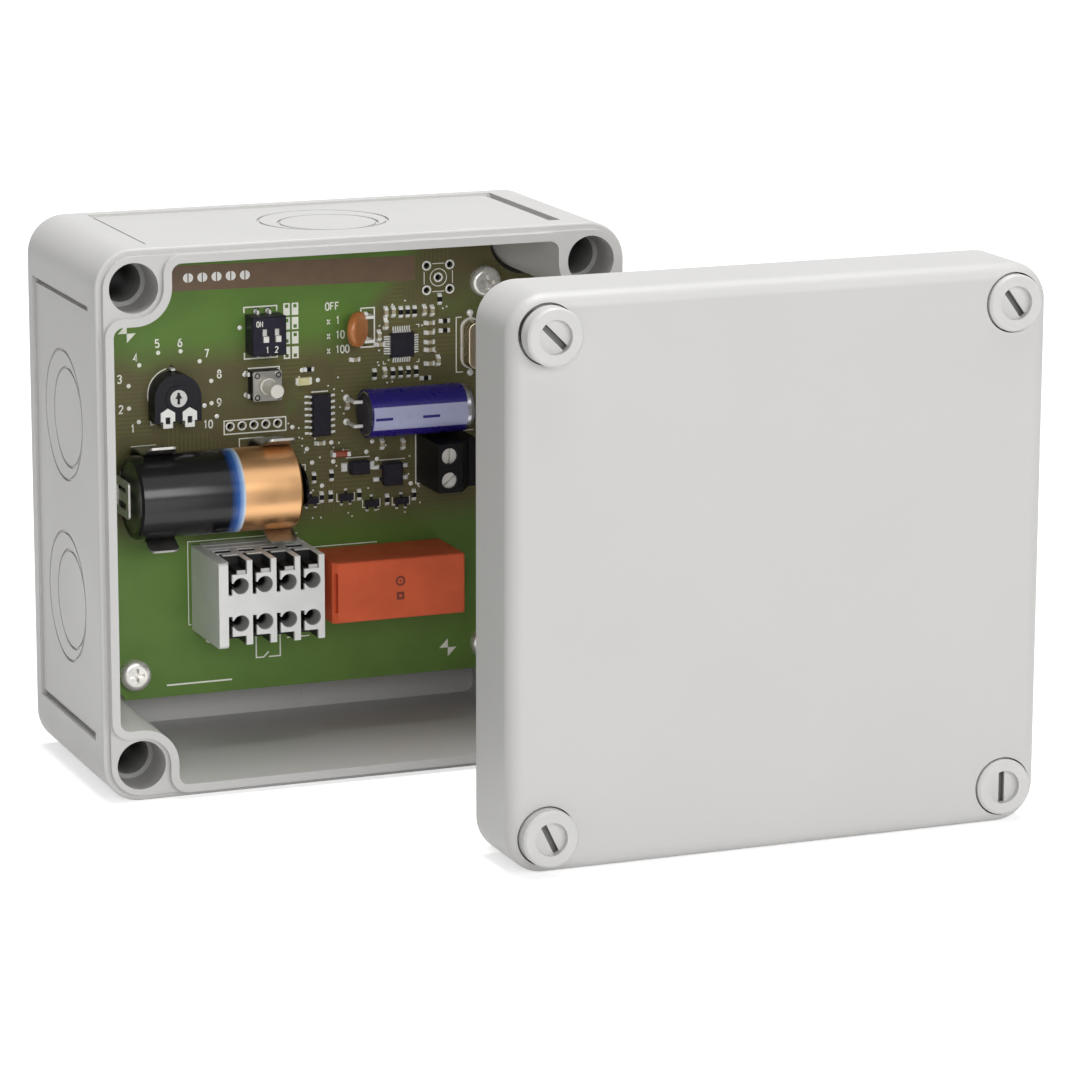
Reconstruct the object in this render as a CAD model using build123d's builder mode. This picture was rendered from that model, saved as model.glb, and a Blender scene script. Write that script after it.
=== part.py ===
from build123d import *
import os
from math import cos, radians, sin

# A doorbell relay box: a square wall box, its lid taken off and stood in front of it to the right, and the
# circuit board inside. Millimetres. The origin is the centre of the case's rear face, which goes on the wall.
# X runs to the right, Y backwards into the wall and Z up. "h" is a height in front of the rear face, and "w"
# a height in front of the circuit board's front face.

# Case
case_side = 110.0
corner_radius = 7.7
band_h = 48.7
band_width = 1.34
wall = 3.0
back_wall = 2.5
half_opening = case_side / 2 - wall
front_edge_radius = 0.5
rear_edge_radius = 1.0

# Screw tubes in the case's corners, and the sealing tongue round the opening
tube_offset = 47.5
block_side = 40.15
block_radius = tube_offset - block_side
junction_radius = 2.0
plate_step = 1.1
tongue_step = 2.3
tongue_width = wall - band_width
tube_mouth_radius = 4.95
tube_mouth_floor_h = 40.9
tube_bore_radius = 4.05
tube_floor_h = 8.0
wall_hole_radius = 2.25

# Side panels, their end slots and the knock-outs
panel_depth = 0.5
panel_h = (4.0, 43.6)
panel_half_length = 43.4
slot_width = 1.27
slot_depth = 1.5
slot_h = (4.5, 43.2)
knockout_radius = 13.3
knockout_inner_radius = 10.2
knockout_groove = 0.6
knockout_groove_depth = 0.4
knockout_h = 23.6
knockout_offset = 18.5

# Board standoffs
standoff_x = 38.2
standoff_z = 38.4
standoff_radius = 3.5
standoff_bore_radius = 1.3
standoff_bore_floor_h = 4.0
ejector_mark_radius = 1.8
ejector_mark_depth = 0.2
ejector_mark_z = -48.5

# Lid, parked in front of the case. "d" is a distance in front of the lid's rear plane.
lid_x = 56.0
lid_gap = 58.5
lid_rear_h = band_h + lid_gap
lid_thickness = 17.3
lid_edge_radius = 3.0
lid_rim = 1.22
lid_rim_depth = 1.2
channel_outside = tongue_width + 0.3
channel_inside = -0.3
channel_depth = 3.9
gasket_floor = 2.35
lid_hollow = -1.5
lid_hollow_depth = 14.7
lid_bore_radius = 4.3
seat_radius = 5.8
seat_depth = 3.6

# Lid screws
head_radius = 5.5
head_height = 3.4
head_edge = 0.4
head_recess_radius = 3.25
head_recess_depth = 1.2
head_slot_width = 1.2
head_slot_depth = 1.3
shank_radius = 3.9
screw_length = 25.4
cam_depth = 1.2
cam_slot_width = 2.4
cam_slot_length = 4.2
cam_turn = 90.0

# Circuit board
board_front = 14.5
board_thickness = 1.6
board_clearance = -0.9
board_bottom_z = -43.7
board_hole_radius = 1.76
board_screw_head_radius = 3.3
board_screw_head = 2.0
board_screw_shank_radius = 1.25
board_screw_length = 9.0
board_screw_recess = 0.9
pin_hole_radius = 0.65
pin_reach = board_thickness + 1.4
header_pitch = 2.54
header_first = (-17.1, 11.65)
aerial_socket = (28.1, 39.7)
aerial_pitch = 5.08
aerial_hole_radius = 0.8

# Battery, its axis along X, and its holder
battery_z = 0.6
battery_w = 9.5
battery_radius = 8.5
sleeve_thickness = 0.15
battery_x = (-41.1, -7.6)
battery_fold_radius = 7.3
battery_seal_depth = 0.6
battery_cap_radius = 3.2
battery_cap_height = 1.0
clip_x = (-35.5, -10.5)
clip_width = 6.2
clip_sheet = 0.5
clip_gap = 0.08
clip_lip = (1.7, 14.0)
clip_bend_radius = 3.5
clip_pin_offset = 4.2
contact_sheet = 0.4
negative_contact_x = -42.7
negative_contact_size = (7.5, 13.0)
negative_window_size = (4.6, 6.4)
negative_tongue_size = (2.0, 7.2)
negative_pin_offset = 2.5
positive_contact_x = -5.9
positive_contact_width = 9.2
positive_contact_reach = 7.6
positive_pin_offset = 3.0

# Time dial
dial = (-29.45, 19.2)
dial_radius = 4.9
dial_height = 4.6
rotor_radius = 1.75
rotor_height = 5.0
dial_terminal_offset = 2.3
dial_terminal_z = -4.6
dial_pin_z = (-5.75, 5.3)
dial_sheet = 0.35
dial_boss_radius = 2.6
dial_boss_height = 0.25

# Test button; the pairs are a radius and a w
button = (-10.2, 20.2)
button_side = 6.1
button_base_height = 3.2
button_cover_height = 3.6
button_rivet_pitch = 4.5
button_rivet_radius = 0.65
button_well = (2.4, 1.0)
button_flange = (2.2, 2.0)
button_collar = (1.75, 4.4)
button_tip_radius = 1.45
button_tip_w = 10.0

# Two-way code switch
code_switch = (-10.1, 30.65)
code_size = (7.2, 8.0, 5.0)
code_leg_z = 4.6
code_leg_w = 1.5
slider_x = (-10.95, -8.35)
slider_z = 30.1
slider_size = (1.1, 1.2)
slider_travel = 1.4
slider_window = (1.25, 2.75)
slider_length = 4.0
slider_plate = 0.8
slider_track_depth = 1.6
slider_stand = 0.5
slider_gap = 0.08

# Chips and other small parts, each placed by its centre on the board, but the signal diode by its left end
controller = (19.9, 26.3)
controller_size = (5.0, 5.0, 1.2)
controller_pitch = 0.5
logic_chip_place = (2.15, 12.9)

logic_chip_size = (3.9, 8.65, 1.4)
chip_size = (1.6, 0.8)
indicator_place = (-1.35, 20.05)
signal_diode_place = (4.6, 4.4)
signal_diode_size = (0.7, 3.5)
power_diode_place = (10.3, 1.4)
power_diode_size = (4.0, 2.8, 2.0)
bridge_place = (17.45, -0.4)
bridge_size = (3.9, 4.7, 2.3)
bridge_lead_z = 1.27
transistor_places = [(0.0, -4.9), (7.6, -4.8), (13.2, -6.5), (19.7, -6.5)]
transistor_size = (2.9, 1.3, 0.9)
transistor_leads = [(0, 0.9), (-0.95, -0.9), (0.95, -0.9)]

# Electrolytic capacitor, lying along X
capacitor_z = 13.4
capacitor_w = 5.3
capacitor_radius = 5.0
capacitor_x = (9.9, 32.6)

# Crystal and fuse
crystal = (35.05, 25.65)
crystal_size = (4.4, 10.7, 4.2)
fuse = (12.9, 30.3)
fuse_radius = 3.65
fuse_thickness = 1.9
fuse_lean = 45.0
fuse_foot = (11.8, 30.65, 1.0)
fuse_lead = 0.6
fuse_lead_w = 2.3
fuse_lead_run = 1.9

# Relay
relay = (13.7, -21.3)
relay_size = (28.6, 12.6, 15.7)
relay_base_height = 1.2
relay_pin_x = (-11.3, 3.7, 8.8)
relay_pin_z = 3.75
relay_corner = 1.0
relay_slit = (0.55, 8.2)
relay_slit_w = 14.3

# Spring terminal for wires, two rows of four poles
poles_x = -13.55
pole_pitch = 5.08
pole_rows_z = (-17.25, -24.95)
wire_block_x = (-23.9, -3.45)
wire_block_z = (-29.45, -12.05)
wire_block_height = 18.5
end_plate_thickness = 1.9
end_plate_z = (-30.0, -12.4)
end_plate_radius = 0.8
funnel_radius = 1.7
funnel_throat_radius = 1.1
funnel_taper = 3.4
funnel_depth = 9.0
release_slot = (-2.65, 0.85)
release_slot_depth = 8.0
release_link = (1.3, 1.3)
notch_depth = 6.0
upper_notch = (3.95, 2.8)
lower_notch = (3.75, 1.9)
notch_tab = (-0.7, 1.8, 0.75)
top_pocket = (3.6, 2.6, 9.0)

# Screw terminal for two wires, its mouths to the right
screw_block = (23.2, 2.3)
screw_block_size = (9.9, 10.16, 13.2)
screw_pitch = 5.08
screw_block_step_x = (28.3, 31.6)
screw_block_shoulder = 8.2
wire_mouth = (3.8, 4.4, 4.6)
terminal_screw_x = 25.6
terminal_screw_radius = 1.65
terminal_screw_w = (7.0, 12.6)
terminal_screw_bore_w = 5.4
running_gap = 0.07


def face(h):
    """A plane parallel to the wall, h in front of the rear face, seen from the front."""
    return Plane.XZ.offset(h)


def board(w):
    """A plane parallel to the board, w in front of its front face."""
    return face(board_front + w)


def on_lid(d):
    """A plane parallel to the parked lid, d in front of its rear plane, its origin on the lid's centre."""
    return Plane(origin=(lid_x, -(lid_rear_h + d), 0), x_dir=(1, 0, 0), z_dir=(0, -1, 0))


def side(angle):
    """The case's side face whose outward normal has this angle in XZ: local x along it, y forwards."""
    a = radians(angle)
    centre = (case_side / 2 * cos(a), 0, case_side / 2 * sin(a))
    return Plane(origin=centre, x_dir=(-sin(a), 0, cos(a)), z_dir=(cos(a), 0, sin(a)))


def across(x):
    """A plane square to X at x, seen from the right: local x along Z, local y forwards from the board."""
    return Plane(origin=(x, -board_front, 0), x_dir=(0, 0, 1), z_dir=(1, 0, 0))


def opening(plane, grow=0.0):
    """The case's opening, a square less a rounded block round each screw tube, grown by grow."""
    half = half_opening + grow
    block = block_side + grow
    beyond = 20.0
    with BuildSketch(plane) as profile:
        Rectangle(2 * half, 2 * half)
        with GridLocations(2 * block + beyond, 2 * block + beyond, 2, 2):
            Rectangle(beyond, beyond, mode=Mode.SUBTRACT)
        fillet(profile.vertices().sort_by_distance((0, 0, 0))[4:], junction_radius + grow)
        fillet(profile.vertices().sort_by_distance((0, 0, 0))[:4], block_radius - grow)
    return profile.sketch


def seal_ring(plane, outside, inside):
    """A ring that follows the opening, from inside to outside of it."""
    outer = opening(Plane.XY, outside)
    inner = opening(Plane.XY, inside)
    with BuildSketch(plane) as profile:
        add(outer)
        add(inner, mode=Mode.SUBTRACT)
    return profile.sketch


def pins(places, width, thickness, top=0.0):
    """Square-cut pins from top, in front of the board, down through it."""
    with BuildPart() as group:
        with BuildSketch(board(-pin_reach)):
            with Locations(*places):
                Rectangle(width, thickness)
        extrude(amount=pin_reach + top)
    return group.part


def finish(part, name):
    """Label a piece and write it."""
    part.label = name
    export_step(part, f"parts/{name}.step")


os.makedirs("parts", exist_ok=True)

# Pin places, which the board's holes follow
pole_xs = [poles_x + pole_pitch * (i - 1.5) for i in range(4)]
wire_pin_places = [(x, z) for x in pole_xs for z in pole_rows_z]
relay_pin_places = [(relay[0] + x, relay[1] + z) for x in relay_pin_x for z in (-relay_pin_z, relay_pin_z)]
screw_poles_z = [screw_block[1] + screw_pitch / 2, screw_block[1] - screw_pitch / 2]
screw_pin_places = [(terminal_screw_x + 1.5, z) for z in screw_poles_z]
capacitor_pin_places = [(capacitor_x[0] - 2.0, capacitor_z + z) for z in (-2.5, 2.5)]
crystal_pin_places = [(crystal[0], crystal[1] - crystal_size[1] / 2 - 0.9)]
crystal_pin_places.append((crystal[0], crystal[1] + crystal_size[1] / 2 + 0.9))
fuse_pin_places = [(fuse[0], fuse[1] - 2.5), (fuse[0], fuse[1] + 2.5)]
code_legs = [(x, z) for x in (-1.27, 1.27) for z in (-code_leg_z, code_leg_z)]
code_pin_places = [(code_switch[0] + x, code_switch[1] + z) for x, z in code_legs]
button_pin_places = [(button[0] + x, button[1] + z) for x in (-3.4, 3.4) for z in (-2.25, 2.25)]
dial_terminal_xs = [dial[0] - dial_terminal_offset, dial[0] + dial_terminal_offset]
dial_pin_places = [(x, dial[1] + dial_pin_z[0]) for x in dial_terminal_xs]
dial_pin_places.append((dial[0], dial[1] + dial_pin_z[1]))
clip_pin_places = [(x, battery_z + z) for x in clip_x for z in (-clip_pin_offset, clip_pin_offset)]
negative_pin_x = negative_contact_x + contact_sheet / 2
positive_pin_x = positive_contact_x + contact_sheet / 2
negative_pin_places = [(negative_pin_x, battery_z + z) for z in (-negative_pin_offset, negative_pin_offset)]
positive_pin_places = [(positive_pin_x, battery_z + z) for z in (-positive_pin_offset, positive_pin_offset)]
header_places = [(header_first[0] + header_pitch * i, header_first[1]) for i in range(5)]
board_fixings = [(x, z) for x in (-standoff_x, standoff_x) for z in (-standoff_z, standoff_z)]

# Case: the shell with its sealing tongue
with BuildPart() as case:
    with BuildSketch(face(0)):
        RectangleRounded(case_side, case_side, corner_radius)
    extrude(amount=band_h)
    fillet(case.faces().sort_by(Axis.Y)[0].edges(), front_edge_radius)
    fillet(case.faces().sort_by(Axis.Y)[-1].edges(), rear_edge_radius)
    with BuildSketch(face(band_h)):
        plate_side = case_side - 2 * band_width
        RectangleRounded(plate_side, plate_side, corner_radius - band_width)
    extrude(amount=plate_step)
    extrude(opening(face(band_h), tongue_width), amount=tongue_step)
    extrude(opening(face(back_wall)), amount=band_h + tongue_step - back_wall, mode=Mode.SUBTRACT)
    # Screw tubes: a wide mouth for the lid screw, a narrower bore and the wall screw's hole
    tube_steps = ((tube_mouth_floor_h, band_h + plate_step, tube_mouth_radius),
                  (tube_floor_h, tube_mouth_floor_h, tube_bore_radius),
                  (0, tube_floor_h, wall_hole_radius))
    for low, high, radius in tube_steps:
        with BuildSketch(face(low)):
            with GridLocations(2 * tube_offset, 2 * tube_offset, 2, 2):
                Circle(radius)
        extrude(amount=high - low, mode=Mode.SUBTRACT)
    # Standoffs that carry the board
    with BuildSketch(face(back_wall)):
        with Locations(*board_fixings):
            Circle(standoff_radius)
    extrude(amount=board_front - board_thickness - back_wall)
    with BuildSketch(face(standoff_bore_floor_h)):
        with Locations(*board_fixings):
            Circle(standoff_bore_radius)
    extrude(amount=board_front - board_thickness - standoff_bore_floor_h, mode=Mode.SUBTRACT)
    with BuildSketch(face(back_wall - ejector_mark_depth)):
        with Locations((0, ejector_mark_z)):
            Circle(ejector_mark_radius)
    extrude(amount=ejector_mark_depth, mode=Mode.SUBTRACT)
    # Side panels, a deeper slot at each end of them, and the knock-outs' double rings
    for angle in (0, 90, 180, 270):
        with BuildSketch(side(angle)):
            with Locations((0, sum(panel_h) / 2)):
                Rectangle(2 * panel_half_length, panel_h[1] - panel_h[0])
        extrude(amount=-panel_depth, mode=Mode.SUBTRACT)
        with BuildSketch(side(angle)):
            slot_centre = panel_half_length - slot_width / 2
            with Locations((-slot_centre, sum(slot_h) / 2), (slot_centre, sum(slot_h) / 2)):
                Rectangle(slot_width, slot_h[1] - slot_h[0])
        extrude(amount=-slot_depth, mode=Mode.SUBTRACT)
        along = (-knockout_offset, knockout_offset) if angle in (0, 180) else (0,)
        inner_h = knockout_h + knockout_radius - knockout_inner_radius
        for radius, h in ((knockout_radius, knockout_h), (knockout_inner_radius, inner_h)):
            with BuildSketch(side(angle).offset(-panel_depth)):
                with Locations(*[(u, h) for u in along]):
                    Circle(radius)
                    Circle(radius - knockout_groove, mode=Mode.SUBTRACT)
            extrude(amount=-knockout_groove_depth, mode=Mode.SUBTRACT)
finish(case.part, "case")

# Lid: a shallow shell whose channel takes the case's tongue
with BuildPart() as lid:
    with BuildSketch(on_lid(0)):
        RectangleRounded(case_side, case_side, corner_radius)
    extrude(amount=lid_thickness)
    fillet(lid.faces().sort_by(Axis.Y)[0].edges(), lid_edge_radius)
    with BuildSketch(on_lid(0)):
        rim_side = case_side - 2 * lid_rim
        RectangleRounded(rim_side, rim_side, corner_radius - lid_rim)
    extrude(amount=lid_rim_depth, mode=Mode.SUBTRACT)
    extrude(seal_ring(on_lid(0), channel_outside, channel_inside), amount=channel_depth, mode=Mode.SUBTRACT)
    extrude(opening(on_lid(0), lid_hollow), amount=lid_hollow_depth, mode=Mode.SUBTRACT)
    for low, radius in ((0, lid_bore_radius), (lid_thickness - seat_depth, seat_radius)):
        with BuildSketch(on_lid(low)):
            with GridLocations(2 * tube_offset, 2 * tube_offset, 2, 2):
                Circle(radius)
        extrude(amount=lid_thickness - low, mode=Mode.SUBTRACT)
finish(lid.part, "lid")

# Gasket, seated on the channel's floor
with BuildPart() as lid_gasket:
    ring = seal_ring(on_lid(gasket_floor), channel_outside, channel_inside)
    extrude(ring, amount=channel_depth - gasket_floor)
finish(lid_gasket.part, "lid_gasket")


def lid_screw(x, z, proud, slot_angle):
    """A quarter-turn screw at x, z on the lid, its head standing proud of the lid's front."""
    top = lid_thickness + proud
    tip = top - screw_length
    axis = Axis((lid_x + x, 0, z), (0, 1, 0))
    with BuildPart() as screw:
        with BuildSketch(on_lid(tip)):
            with Locations((x, z)):
                Circle(shank_radius)
        extrude(amount=screw_length - head_height)
        chamfer(screw.faces().sort_by(Axis.Y)[-1].edges(), 0.6)
        with BuildSketch(on_lid(top - head_height)):
            with Locations((x, z)):
                Circle(head_radius)
        extrude(amount=head_height)
        chamfer(screw.faces().sort_by(Axis.Y)[0].edges(), head_edge)
        with BuildSketch(on_lid(top)):
            with Locations((x, z)):
                Circle(head_recess_radius)
        extrude(amount=-head_recess_depth, mode=Mode.SUBTRACT)
        with BuildSketch(on_lid(top - head_recess_depth)):
            with Locations((x, z)):
                Rectangle(2 * head_recess_radius - 0.1, head_slot_width, rotation=slot_angle)
        extrude(amount=-head_slot_depth, mode=Mode.SUBTRACT)
        # The cam: a way in from the tip, then a quarter turn of groove
        with BuildSketch(on_lid(tip)):
            with Locations((x + shank_radius, z)):
                Rectangle(2 * cam_depth, cam_slot_width)
        extrude(amount=cam_slot_length + cam_slot_width, mode=Mode.SUBTRACT)
        groove_y = -(lid_rear_h + tip + cam_slot_length + cam_slot_width / 2)
        with BuildSketch(Plane(origin=(lid_x + x, groove_y, z), x_dir=(1, 0, 0), z_dir=(0, 0, 1))):
            with Locations((shank_radius, 0)):
                Rectangle(2 * cam_depth, cam_slot_width)
        revolve(axis=axis, revolution_arc=cam_turn, mode=Mode.SUBTRACT)
    return screw.part


# Lid screws, as far out and turned as each one stands
screw_places = {"upper_left": (-1, 1, 4.0, -45.0), "lower_left": (-1, -1, 2.5, -64.0),
                "upper_right": (1, 1, 1.0, -54.0), "lower_right": (1, -1, 0.8, 90.0)}
for corner, (right, up, proud, slot_angle) in screw_places.items():
    piece = lid_screw(right * tube_offset, up * tube_offset, proud, slot_angle)
    finish(piece, f"lid_screw_{corner}")

# Circuit board
with BuildPart() as circuit_board:
    extrude(opening(face(board_front - board_thickness), board_clearance), amount=board_thickness)
    split(bisect_by=Plane.XY.offset(board_bottom_z), keep=Keep.TOP)
    with BuildSketch(board(0)):
        with Locations(*board_fixings):
            Circle(board_hole_radius)
        with Locations(aerial_socket):
            Circle(aerial_hole_radius)
            with GridLocations(aerial_pitch, aerial_pitch, 2, 2):
                Circle(aerial_hole_radius)
        with Locations(*header_places):
            Circle(pin_hole_radius)
        with Locations(*wire_pin_places, *relay_pin_places, *screw_pin_places, *capacitor_pin_places):
            Circle(pin_hole_radius)
        with Locations(*crystal_pin_places, *fuse_pin_places, *code_pin_places, *button_pin_places):
            Circle(pin_hole_radius)
        with Locations(*dial_pin_places, *clip_pin_places, *negative_pin_places, *positive_pin_places):
            Circle(pin_hole_radius)
    extrude(amount=-board_thickness, mode=Mode.SUBTRACT)
finish(circuit_board.part, "circuit_board")

# Board screws, with a domed head and a cross recess
with BuildPart() as board_screws:
    with BuildSketch(board(-board_screw_length)):
        with Locations(*board_fixings):
            Circle(board_screw_shank_radius)
    extrude(amount=board_screw_length)
    with BuildSketch(board(0)):
        with Locations(*board_fixings):
            Circle(board_screw_head_radius)
    extrude(amount=board_screw_head)
    fillet(board_screws.faces().group_by(Axis.Y)[0].edges(), board_screw_head * 0.6)
    with BuildSketch(board(board_screw_head)):
        with Locations(*board_fixings):
            Rectangle(3.2, 0.8)
            Rectangle(0.8, 3.2)
    extrude(amount=-board_screw_recess, mode=Mode.SUBTRACT)
finish(board_screws.part, "board_screws")

# Battery: the cell, its printed sleeve, the seal round the positive end and the cap
battery_plane = Plane(origin=(0, -(board_front + battery_w), battery_z), x_dir=(1, 0, 0), z_dir=(0, -1, 0))
battery_axis = Axis(battery_plane.origin, (1, 0, 0))
can_radius = battery_radius - sleeve_thickness
seal_x = battery_x[1] - battery_seal_depth
with BuildPart() as battery_cell:
    with BuildSketch(battery_plane):
        with BuildLine():
            Polyline((battery_x[0], 0), (battery_x[0], can_radius - 0.5), (battery_x[0] + 0.5, can_radius),
                     (battery_x[1] - 0.5, can_radius), (battery_x[1], can_radius - 0.5),
                     (battery_x[1], battery_fold_radius), (seal_x, battery_fold_radius), (seal_x, 0),
                     close=True)
        make_face()
    revolve(axis=battery_axis)
finish(battery_cell.part, "battery_cell")

with BuildPart() as battery_sleeve:
    with BuildSketch(battery_plane):
        with BuildLine():
            sleeve_left = battery_x[0] - sleeve_thickness
            sleeve_right = battery_x[1] + sleeve_thickness
            Polyline((sleeve_left, battery_fold_radius), (sleeve_left, battery_radius - 0.5),
                     (sleeve_left + 0.5, battery_radius), (sleeve_right - 0.5, battery_radius),
                     (sleeve_right, battery_radius - 0.5), (sleeve_right, battery_fold_radius),
                     (battery_x[1], battery_fold_radius), (battery_x[1], can_radius - 0.5),
                     (battery_x[1] - 0.5, can_radius),
                     (battery_x[0] + 0.5, can_radius), (battery_x[0], can_radius - 0.5),
                     (battery_x[0], battery_fold_radius), close=True)
        make_face()
    revolve(axis=battery_axis)
finish(battery_sleeve.part, "battery_sleeve")

with BuildPart() as battery_seal:
    with BuildSketch(Plane.YZ.offset(seal_x)):
        with Locations((-(board_front + battery_w), battery_z)):
            Circle(battery_fold_radius)
            Circle(battery_cap_radius, mode=Mode.SUBTRACT)
    extrude(amount=battery_seal_depth)
finish(battery_seal.part, "battery_seal")

with BuildPart() as battery_positive_cap:
    with BuildSketch(Plane.YZ.offset(seal_x)):
        with Locations((-(board_front + battery_w), battery_z)):
            Circle(battery_cap_radius)
    extrude(amount=battery_seal_depth + battery_cap_height)
    fillet(battery_positive_cap.faces().sort_by(Axis.X)[-1].edges(), 0.4)
finish(battery_positive_cap.part, "battery_positive_cap")


def battery_clip(x):
    """A sprung sheet clip round the battery, its arms upright at the cell's widest and its lips flared."""
    arm = battery_radius + clip_gap + clip_sheet / 2
    foot = clip_sheet / 2
    lip_out, lip_w = clip_lip
    flare_w = battery_w + 0.6
    with BuildPart() as clip:
        with BuildSketch(across(x - clip_width / 2)):
            with BuildLine() as strip:
                FilletPolyline((battery_z - arm - lip_out, lip_w), (battery_z - arm, flare_w),
                               (battery_z - arm, foot), (battery_z + arm, foot), (battery_z + arm, flare_w),
                               (battery_z + arm + lip_out, lip_w),
                               radius=(0.8, clip_bend_radius, clip_bend_radius, 0.8))
            trace(line_width=clip_sheet)
        extrude(amount=clip_width)
        # The lips' outer corners are rounded
        lip_edges = clip.edges().filter_by(lambda e: abs(e.length - clip_sheet) < 0.02)
        lip_edges = lip_edges.filter_by(lambda e: e.center().Y < -(board_front + lip_w - 0.5))
        fillet(lip_edges, 1.2)
        add(pins([(x, battery_z + z) for z in (-clip_pin_offset, clip_pin_offset)], 1.0, 0.5, 0.1))
    return clip.part


for name, x in zip(("left", "right"), clip_x):
    finish(battery_clip(x), f"battery_clip_{name}")

# Battery contacts: a framed plate at the negative end and a round-topped leaf at the positive end
with BuildPart() as battery_contact_negative:
    with BuildSketch(across(negative_contact_x)):
        with Locations((battery_z, negative_contact_size[1] / 2)):
            RectangleRounded(negative_contact_size[0], negative_contact_size[1], 0.8)
        with Locations((battery_z, 8.0)):
            RectangleRounded(negative_window_size[0], negative_window_size[1], 0.6, mode=Mode.SUBTRACT)
    extrude(amount=contact_sheet)
    with BuildSketch(across(negative_contact_x + contact_sheet)):
        with Locations((battery_z, 8.0)):
            Rectangle(negative_tongue_size[0], negative_tongue_size[1])
    extrude(amount=contact_sheet)
    add(pins(negative_pin_places, contact_sheet, 1.0, 0.6))
finish(battery_contact_negative.part, "battery_contact_negative")

with BuildPart() as battery_contact_positive:
    with BuildSketch(across(positive_contact_x)):
        with Locations((battery_z, 4.0)):
            Rectangle(positive_contact_width, 8.0)
        with Locations((battery_z, 8.0)):
            Ellipse(positive_contact_width / 2, positive_contact_reach)
        # Nothing of it lies behind the board's face
        with Locations((battery_z, -5.0)):
            Rectangle(12.0, 10.0, mode=Mode.SUBTRACT)
    extrude(amount=contact_sheet)
    add(pins(positive_pin_places, contact_sheet, 1.0, 0.6))
finish(battery_contact_positive.part, "battery_contact_positive")

# Time dial: an arched body, its rotor and its terminals
with BuildPart() as trimmer_base:
    with BuildSketch(board(0)):
        with Locations(dial):
            Circle(dial_radius)
        with Locations((dial[0], dial[1] - dial_radius / 2)):
            Rectangle(2 * dial_radius, dial_radius)
    extrude(amount=dial_height)
    with BuildSketch(board(dial_height)):
        with Locations(dial):
            Circle(dial_boss_radius)
    extrude(amount=dial_boss_height)
    with BuildSketch(board(0)):
        with Locations(dial):
            Circle(rotor_radius + running_gap)
    extrude(amount=dial_height + dial_boss_height, mode=Mode.SUBTRACT)
finish(trimmer_base.part, "trimmer_base")

with BuildPart() as trimmer_rotor:
    with BuildSketch(board(0.2)):
        with Locations(dial):
            Circle(rotor_radius)
    extrude(amount=rotor_height - 0.2)
    with BuildSketch(board(rotor_height)):
        with Locations(dial):
            Rectangle(0.6, 2.4)
        with Locations((dial[0], dial[1] + 0.4)):
            RegularPolygon(0.9, 3, rotation=90)
    extrude(amount=-0.8, mode=Mode.SUBTRACT)
finish(trimmer_rotor.part, "trimmer_rotor")

with BuildPart() as trimmer_terminals:
    for x in dial_terminal_xs:
        with BuildSketch(board(dial_height)):
            z = dial[1] + dial_terminal_z
            with BuildLine():
                Polyline((x, z + 2.7), (x + 1.5, z + 1.8), (x + 1.5, z), (x + 1.0, z), (x + 1.0, z - 1.35),
                         (x - 1.0, z - 1.35), (x - 1.0, z), (x - 1.5, z), (x - 1.5, z + 1.8), close=True)
            make_face()
            with Locations((x, z + 0.2)):
                Rectangle(1.0, 1.4, mode=Mode.SUBTRACT)
        extrude(amount=dial_sheet)
        with BuildSketch(board(-pin_reach)):
            with Locations((x, dial[1] + dial_pin_z[0])):
                Rectangle(0.8, 0.4)
        extrude(amount=pin_reach + dial_height)
    with BuildSketch(board(-pin_reach)):
        with Locations((dial[0], dial[1] + dial_pin_z[1])):
            Rectangle(0.8, 0.4)
    extrude(amount=pin_reach + 1.5)
finish(trimmer_terminals.part, "trimmer_terminals")

# Test button: base, sheet cover with four rivets, plunger and legs
with BuildPart() as button_base:
    with BuildSketch(board(0)):
        with Locations(button):
            Rectangle(button_side - 0.2, button_side - 0.2)
    extrude(amount=button_base_height)
    with BuildSketch(board(button_well[1])):
        with Locations(button):
            Circle(button_well[0])
    extrude(amount=button_base_height - button_well[1], mode=Mode.SUBTRACT)
finish(button_base.part, "button_base")

with BuildPart() as button_cover:
    with BuildSketch(board(button_base_height)):
        with Locations(button):
            RectangleRounded(button_side, button_side, 0.4)
            Circle(button_collar[0] + running_gap, mode=Mode.SUBTRACT)
    extrude(amount=button_cover_height - button_base_height)
    with BuildSketch(board(button_cover_height)):
        with Locations(button):
            with GridLocations(button_rivet_pitch, button_rivet_pitch, 2, 2):
                Circle(button_rivet_radius)
    extrude(amount=0.25)
finish(button_cover.part, "button_cover")

with BuildPart() as test_button:
    with BuildSketch(board(button_flange[1])):
        with Locations(button):
            Circle(button_flange[0])
    extrude(amount=button_base_height - button_flange[1])
    with BuildSketch(board(button_base_height)):
        with Locations(button):
            Circle(button_collar[0])
    extrude(amount=button_collar[1] - button_base_height)
    with BuildSketch(board(button_collar[1])):
        with Locations(button):
            Circle(button_tip_radius)
    extrude(amount=button_tip_w - button_collar[1])
    fillet(test_button.faces().sort_by(Axis.Y)[0].edges(), 0.25)
finish(test_button.part, "test_button")

button_legs = pins(button_pin_places, 0.5, 0.8, 1.8)
finish(button_legs, "button_legs")

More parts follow.
